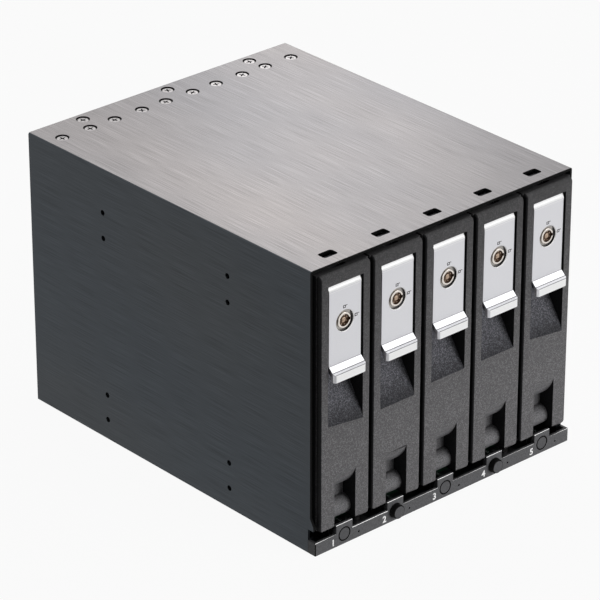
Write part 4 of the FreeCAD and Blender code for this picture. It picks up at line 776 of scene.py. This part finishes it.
def makeLever(tray):
    node = f"lever_{tray}"
    work = copySolid(node)
    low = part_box(node)[0]
    pivot = trayPlaces[tray]
    face = frontEdge - lever["plateProud"] * mm

    def fromLock(place):
        away = place - lockPlaces[tray]
        return math.hypot(away.x, away.z) / mm

    def topCorner(middle, edge):
        high = middle.z > pivot.z - lever["cornerDrop"] * mm and middle.y < pivot.y
        return abs(edgeLine(edge).x) < 0.1 and high and abs(middle.x - pivot.x) > lever["cornerOut"] * mm

    def mouth(middle, edge):
        onCircle = abs(fromLock(middle) - lock["mouthRadius"]) < making["touch"]
        return onCircle and abs(middle.y - face) < lever["mouthReach"] * mm

    def plate(middle, edge):
        clear = fromLock(middle) > lock["mouthRadius"] + 1
        return clear and middle.y < pivot.y + 1 * mm and middle.z < pivot.z + lever["plateTop"] * mm

    roundEdges(work, lever["corner"], segments=4, shortest=0.3, chosen=topCorner)
    # The lock mouth's rounded rim is painted white as a highlight
    roundEdges(work, lever["mouth"], 1, 0.0, mouth, leverLooks.index("railEdge"), clamp=False)
    roundEdges(work, lever["edge"], segments=1, shortest=0.8, chosen=plate, clamp=False)
    scoreBands(work, low.z)
    for part in work.faces:
        middle = part.calc_center_median()
        shadedBehind = middle.z > pivot.z + lever["shadedBehind"] * mm or middle.y > frontEdge
        deep = middle.y > face + lock["mouthEdge"] * mm
        inMouth = deep and fromLock(middle) < lock["mouthRadius"] + making["hair"]
        lipFace = part.normal.y < -0.9 and middle.y < low.y + lever["lipDepth"] * mm
        sloped = part.normal.z > 0.1 and part.normal.y < -lever["slope"]
        topChamfer = sloped and middle.z > lockPlaces[tray].z
        # The mouth's walls, the hook and everything behind the front are painted dark steel as shade
        if inMouth and abs(part.normal.y) >= 0.5:
            part.material_index = leverLooks.index("lockSeat")
        elif inMouth or shadedBehind:
            part.material_index = leverLooks.index("darkSteel")
        # The lip's face and the top chamfers take a brighter metal as painted highlight
        elif part.material_index == 0 and (lipFace or topChamfer):
            part.material_index = leverLooks.index("leverBright")
    for across, up in padlock["places"]:
        addPadlock(work, lockPlaces[tray] + Vector((across, 0, up)) * mm, face)
    finishPiece(work, f"pullLever_{tray}", node, node, leverLooks, sharp=18)


padlock = {"places": ((0, 6.3), (6.3, 0.7)), "width": 1.45, "height": 1.25, "line": 0.3, "left": 0.4,
           "shackle": 0.36, "shackleLine": 0.2, "shackleGap": 0.45, "shackleRise": 0.3, "steps": 8,
           "lift": 0.02}


def addPadlock(work, middle, face):
    # Printed outline of a padlock's case, and its shackle beside it
    half, tall, line = padlock["width"] / 2 * mm, padlock["height"] / 2 * mm, padlock["line"] * mm
    front, back = face - padlock["lift"] * mm, face + padlock["lift"] * mm
    ink = leverLooks.index("blackInside")
    across, up = middle.x - padlock["left"] * mm, middle.z
    bars = (((-half, -tall), (half, line - tall)), ((-half, tall - line), (half, tall)),
            ((-half, -tall), (line - half, tall)), ((half - line, -tall), (half, tall)))
    for (left, foot), (right, head) in bars:
        addBox(work, (across + left, front, up + foot), (across + right, back, up + head), ink)
    centre = Vector((across + half + padlock["shackleGap"] * mm, 0, up + tall * padlock["shackleRise"]))
    inner, outer = (padlock["shackle"] + sense * padlock["shackleLine"] / 2 for sense in (-1, 1))
    for step in range(padlock["steps"]):
        turns = [math.pi * (step + end) / padlock["steps"] for end in (0, 1)]
        corners = []
        for turn, radius in ((turns[0], inner), (turns[1], inner), (turns[1], outer), (turns[0], outer)):
            corners.append(work.verts.new((centre.x + math.cos(turn) * radius * mm, front,
                                           centre.z + math.sin(turn) * radius * mm)))
        work.faces.new(corners).material_index = ink


def makeLockPlug(tray):
    # Nickel ring with a key slot at three o'clock, round a bronze key well with its post and pins
    node = f"lock_plug_{tray}"
    low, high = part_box(node)
    middle = lockPlaces[tray].copy()
    middle.y = low.y
    work = bmesh.new()
    axes = ((1, 0, 0), (0, 0, 1))
    outward = Vector((0, -1, 0))
    rim = (lock["plugRadius"] - lock["edge"]) * mm
    outer = addLoop(work, circlePoints(middle, rim, axes, lock["around"]))
    skip = math.asin(lock["slot"] / lock["ringRadius"])
    inner = circlePoints(middle, lock["ringRadius"] * mm, axes, lock["around"], skip)
    slot = [middle + Vector((lock["slotEnd"] * mm, 0, sense * lock["slot"] * mm)) for sense in (-1, 1)]
    well = addLoop(work, inner + slot)
    fillBetween(work, outer + well, outward)
    # The well's walls and floor take a darker bronze, painted shade in the hollow
    sinkLoop(work, well, -outward * lock["depth"] * mm, 1.0, 1)
    length = (high.y - middle.y) / mm
    for depth, radius in ((lock["edge"], lock["plugRadius"]), (length, lock["plugRadius"])):
        outer = extrudeLoop(work, outer, middle, -outward * depth * mm, radius)
    fillBetween(work, outer, -outward)
    floor = middle + Vector((0, lock["depth"] * mm, 0))
    neck = middle + Vector((0, lock["postNeck"] * mm, 0))
    radii = [(lock["post"] - less) * mm for less in (0, lock["neck"], lock["tip"])]
    addRod(work, floor, neck, radii[0], radii[1], look=2)
    addRod(work, neck, neck + outward * lock["rise"] * mm, radii[1], radii[2], look=2)
    for pin in range(lock["pins"]):
        turn = math.tau * (pin + 0.5) / lock["pins"]
        spot = Vector((math.cos(turn), 0, math.sin(turn))) * (lock["ringRadius"] + lock["post"]) / 2 * mm
        top = middle + spot + Vector((0, lock["pinTop"] * mm, 0))
        addRod(work, floor + spot, top, lock["pinRadius"] * mm, segments=12, look=2)
    half, thick = lock["camHalf"] * mm, lock["camThick"] * mm
    addBox(work, (middle.x - half, high.y - thick, low.z), (middle.x + half, high.y, middle.z), 3)
    finishPiece(work, f"lockPlug_{tray}", f"lock_{tray}", node,
                ["lockNickel", "lockCavity", "lockBronze", "screwSteel"])


def makePlateScrews(tray):
    node = f"bezel_screws_{tray}"
    work = copySolid(node)
    roundEdges(work, plateScrew["edge"], 2, 1.0)
    finishPiece(work, f"plateScrews_{tray}", f"tray_{tray}", node, ["screwSteel"])


def makeTrays():
    for tray in trays:
        body = f"tray_{tray}"
        makeBezel(tray)
        makeLever(tray)
        makeLockPlug(tray)
        makePlateScrews(tray)
        dressNode(f"carrier_{tray}", f"driveCarrier_{tray}", "zincSteel", body)
        dressNode(f"hinge_pin_{tray}", f"hingePin_{tray}", "screwSteel", body)
        dressNode(f"latch_spring_{tray}", f"latchSpring_{tray}", "screwSteel", body)
    print("trays ready")


makeTrays()


# Guides

guide = {"edge": 0.3, "shortest": 10.0}


def makeGuides():
    for node, name in (("upper_guide", "upperGuide"), ("lower_guide", "lowerGuide")):
        dressNode(node, name, "guidePlastic", width=guide["edge"], shortest=guide["shortest"])
    print("guides ready")


makeGuides()


# Front rail, buttons and their board

rail = {"edge": 0.24, "corner": 0.3, "otherEdge": 0.12, "topStart": 5.5, "buttonHeight": 4.65,
        "buttonReach": 3.6, "lampPlace": 8.0, "lampHeight": 2.6, "lampReach": 0.6, "numberSize": 4.1,
        "numberPlace": -6.2, "numberHeight": 2.5, "strokeExtra": 0.13, "printLift": 0.02, "faceReach": 0.05,
        "longEdge": 4.0, "shortEdge": 1.5, "tallEdge": 3.0}
button = {"edge": 0.45, "frontTurn": 0.95, "switchEdge": 0.2}
switchParts = {"places": (-11.0, -9.2, 11.2), "height": 3.0, "size": (1.2, 0.5, 0.8)}


def addNumber(work, text, middle, height):
    # Outline of a plain number, laid on a face that looks to -Y
    curve = bpy.data.curves.new("numberOutline", "FONT")
    curve.body, curve.size = text, height * mm
    curve.align_x, curve.align_y = "CENTER", "CENTER"
    curve.offset = rail["strokeExtra"] * mm
    holder = addHolder("numberOutline", curve)
    flat = holder.to_mesh()
    before = set(work.verts)
    work.from_mesh(flat)
    made = [vert for vert in work.verts if vert not in before]
    turn = Matrix.Translation(middle) @ Matrix.Rotation(math.pi / 2, 4, "X")
    bmesh.ops.transform(work, matrix=turn, verts=made)
    holder.to_mesh_clear()
    bpy.data.objects.remove(holder)
    bpy.data.curves.remove(curve)


def makeFrontRail():
    work = copySolid("front_rail")
    low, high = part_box("front_rail")

    def inFace(middle):
        return middle.y < low.y + rail["faceReach"] * mm

    def topEdge(middle, edge):
        above = middle.z > rail["topStart"] * mm and inFace(middle)
        return isLevel(edge) and above and edge.calc_length() > rail["longEdge"] * mm

    def otherEdge(middle, edge):
        return inFace(middle) and edge.calc_length() > rail["shortEdge"] * mm

    def corner(middle, edge):
        tall = abs(edge.verts[0].co.z - edge.verts[1].co.z) > rail["tallEdge"] * mm
        atEnd = abs(middle.x) > high.x - making["touch"] * mm
        return tall and atEnd and middle.y < low.y + 1 * mm

    # The rail's rounded end corners are painted black as shade
    roundEdges(work, rail["corner"], 1, 1.0, corner, 2)
    # The rail's top edges take a white bevel, a painted highlight
    roundEdges(work, rail["edge"], 1, 1.0, topEdge, 1, False)
    roundEdges(work, rail["otherEdge"], 1, 1.0, otherEdge)
    kinds = (("button", 0), ("lamp", rail["lampPlace"]))
    holes = [(place.x + across * mm, rail[f"{kind}Height"] * mm, rail[f"{kind}Reach"] * mm)
             for place in trayPlaces.values() for kind, across in kinds]
    for face in work.faces:
        middle = face.calc_center_median()
        for across, height, reach in holes:
            if abs(face.normal.y) < 0.5 and math.hypot(middle.x - across, middle.z - height) < reach:
                face.material_index = 2    # walls of a button hole or a lamp's pinhole, painted black as shade
    finishPiece(work, "frontRail", "cage", "front_rail", ["railPlastic", "railEdge", "blackInside"])
    work = bmesh.new()
    for tray in trays:
        spot = Vector((trayPlaces[tray].x + rail["numberPlace"] * mm, low.y - rail["printLift"] * mm,
                       rail["numberHeight"] * mm))
        addNumber(work, str(tray), spot, rail["numberSize"])
    finishPiece(work, "railNumbers", "cage", "front_rail", ["whitePrint"], standsFor=False)


def makeButtons():
    for tray in trays:
        node = f"power_button_{tray}"
        work = copySolid(node)
        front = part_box(node)[0].y + making["hair"] * mm
        roundEdges(work, button["edge"], 2, 0.0, lambda middle, edge: middle.y < front, clamp=False)
        # The rounded rim and sides are painted black, the shade of the gap round the button
        for face in work.faces:
            face.material_index = 1 if face.normal.y > -button["frontTurn"] else 0
        finishPiece(work, f"powerButton_{tray}", node, node, ["buttonPlastic", "blackInside"])


def makeSwitches():
    dressNode("push_switches", "pushSwitches", "blackPlastic", width=button["switchEdge"])
    work = bmesh.new()
    for low, high in solidBoxes("light_pipes"):
        radius = (high.x - low.x) / 2
        middle = (low + high) / 2
        addRod(work, (middle.x, low.y, middle.z), (middle.x, high.y, middle.z), radius, segments=20)
    finishPiece(work, "lightPipes", "cage", "light_pipes", ["clearPlastic"])
    work = copySolid("switch_board")
    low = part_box("switch_board")[0]
    wide, thick, tall = (length * mm for length in switchParts["size"])
    foot = low.z + switchParts["height"] * mm
    for tray in trays:
        for place in switchParts["places"]:
            left = trayPlaces[tray].x + place * mm
            addBox(work, (left, low.y - thick, foot), (left + wide, low.y, foot + tall), 1)
    finishPiece(work, "switchBoard", "cage", "switch_board", ["circuitDark", "blackPlastic"])


def makeFront():
    makeFrontRail()
    makeButtons()
    makeSwitches()
    print("front ready")


makeFront()


# Backplane and rear panel's sockets

boardParts = {"chipPlace": 1.0, "chipHeight": 100.0, "chip": (5, 1.2, 5), "rows": 6, "rowPlace": -8.0,
              "rowStart": 24, "rowStep": 4, "small": (1.6, 0.6, 0.8)}


def makeBackplane():
    work = copySolid("backplane_board")
    low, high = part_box("backplane_board")
    chip, small = (Vector(boardParts[name]) * mm for name in ("chip", "small"))
    for tray in trays:
        across = trayPlaces[tray].x
        spot = Vector((across + boardParts["chipPlace"] * mm, high.y, boardParts["chipHeight"] * mm))
        addBox(work, spot, spot + chip, 1)
        for row in range(boardParts["rows"]):
            up = (boardParts["rowStart"] + row * boardParts["rowStep"]) * mm
            spot = Vector((across + boardParts["rowPlace"] * mm, low.y - small.y, up))
            addBox(work, spot, spot + small, 2 if row % 2 else 1)
    finishPiece(work, "backplaneBoard", "cage", "backplane_board",
                ["circuitGreen", "blackPlastic", "ceramic"])
    dressNode("board_spacers", "boardSpacers", "screwSteel")


contacts = {"dataPins": 7, "powerPins": 15, "dataTop": 3.7, "powerTop": 18.5, "pitch": 1.27, "wall": 1.34,
            "thick": 0.25, "wide": 0.8, "start": 0.6, "end": 4.6}
portPins = {"half": 0.3, "from": 5.0, "to": 0.5, "low": 0.65, "high": 0.9}
socketPins = {"wall": 2.5, "from": 8.0, "to": 0.5, "largest": 20}    # the largest in square millimetres


def makeDriveSockets():
    work = copySolid("drive_sockets")
    for low, high in solidBoxes("drive_sockets"):
        wall = (low.x + high.x) / 2 - contacts["wall"] * mm
        for kind in ("data", "power"):
            for pin in range(contacts[f"{kind}Pins"]):
                up = high.z - contacts[f"{kind}Top"] * mm - pin * contacts["pitch"] * mm
                addBox(work, (wall, low.y + contacts["start"] * mm, up - contacts["wide"] * mm),
                       (wall + contacts["thick"] * mm, low.y + contacts["end"] * mm, up), 1)
    finishPiece(work, "driveSockets", "cage", "drive_sockets", ["blackPlastic", "goldPlate"])


def makePorts():
    work = copySolid("sata_ports")
    for low, high in solidBoxes("sata_ports"):
        middle = (low + high) / 2
        for pin in range(contacts["dataPins"]):
            across = middle.x + (pin - 3) * contacts["pitch"] * mm
            half = portPins["half"] * mm
            addBox(work, (across - half, high.y - portPins["from"] * mm, middle.z + portPins["low"] * mm),
                   (across + half, high.y - portPins["to"] * mm, middle.z + portPins["high"] * mm), 1)
    finishPiece(work, "sataPorts", "cage", "sata_ports", ["blackPlastic", "goldPlate"])
    work = copySolid("power_sockets")
    boxes = solidBoxes("power_sockets")
    wall = socketPins["wall"] * mm
    for face in work.faces:
        middle = face.calc_center_median()
        small = face.calc_area() < socketPins["largest"] * mm * mm
        for low, high in boxes:
            if low.x + wall < middle.x < high.x - wall and low.z + wall < middle.z < high.z - wall:
                deep = socketPins["to"] * mm < high.y - middle.y < socketPins["from"] * mm
                face.material_index = 1 if deep and small else 0
    finishPiece(work, "powerSockets", "cage", "power_sockets", ["whitePlastic", "screwSteel"])


def makeRear():
    makeBackplane()
    makeDriveSockets()
    makePorts()
    print("rear ready")


makeRear()


# Fan

fan = {"edge": 0.5, "shortest": 6.0, "rings": 5, "ringStep": 7.6, "wire": 0.8, "eye": 3.2,
       "spokeStart": 7.0, "screwHead": 3.7, "screwEdge": 0.5, "headThick": 2.4, "shank": 2.0,
       "cross": {"turn": 0.6, "arm": 2.0, "width": 0.9}}    # the turn in radians


def makeFan():
    dressNode("fan_frame", "fanFrame", "fanPlastic", width=fan["edge"], shortest=fan["shortest"])
    dressNode("fan_rotor", "fanRotor", "fanPlastic", "fan_rotor")
    low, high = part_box("finger_guard")
    middle = (low + high) / 2
    middle.y = low.y + fan["wire"] * mm
    work = bmesh.new()
    for ring in range(1, fan["rings"]):
        addRing(work, middle, ring * fan["ringStep"] * mm, fan["wire"] * mm)
    screws = solidBoxes("fan_screws")
    eyes = [Vector(((foot.x + head.x) / 2, middle.y, (foot.z + head.z) / 2)) for foot, head in screws]
    for eye in eyes:
        toward = (eye - middle).normalized()
        addRing(work, eye, fan["eye"] * mm, fan["wire"] * mm, around=32)
        start, end = middle + toward * fan["spokeStart"] * mm, eye - toward * fan["eye"] * mm
        addRod(work, start, end, fan["wire"] * mm, segments=12)
    finishPiece(work, "fingerGuard", "cage", "finger_guard", ["guardChrome"])
    work = bmesh.new()
    outward = Vector((0, 1, 0))
    axes = ((1, 0, 0), (0, 0, -1))
    for (foot, head), eye in zip(screws, eyes):
        face = Vector((eye.x, head.y, eye.z))
        rim = addCrossHead(work, face, axes, outward, fan["screwHead"], fan["screwEdge"],
                           {**crossScrew, **fan["cross"]})
        thick, length = fan["headThick"], (head.y - foot.y) / mm
        for depth, radius in ((fan["screwEdge"], fan["screwHead"]), (thick, fan["screwHead"]),
                              (thick, fan["shank"]), (length, fan["shank"])):
            rim = extrudeLoop(work, rim, face, -outward * depth * mm, radius)
        fillBetween(work, rim, -outward)
    finishPiece(work, "fanScrews", "cage", "fan_screws", ["screwSteel", "darkSteel"])
    print("fan ready")


makeFan()

print("done")
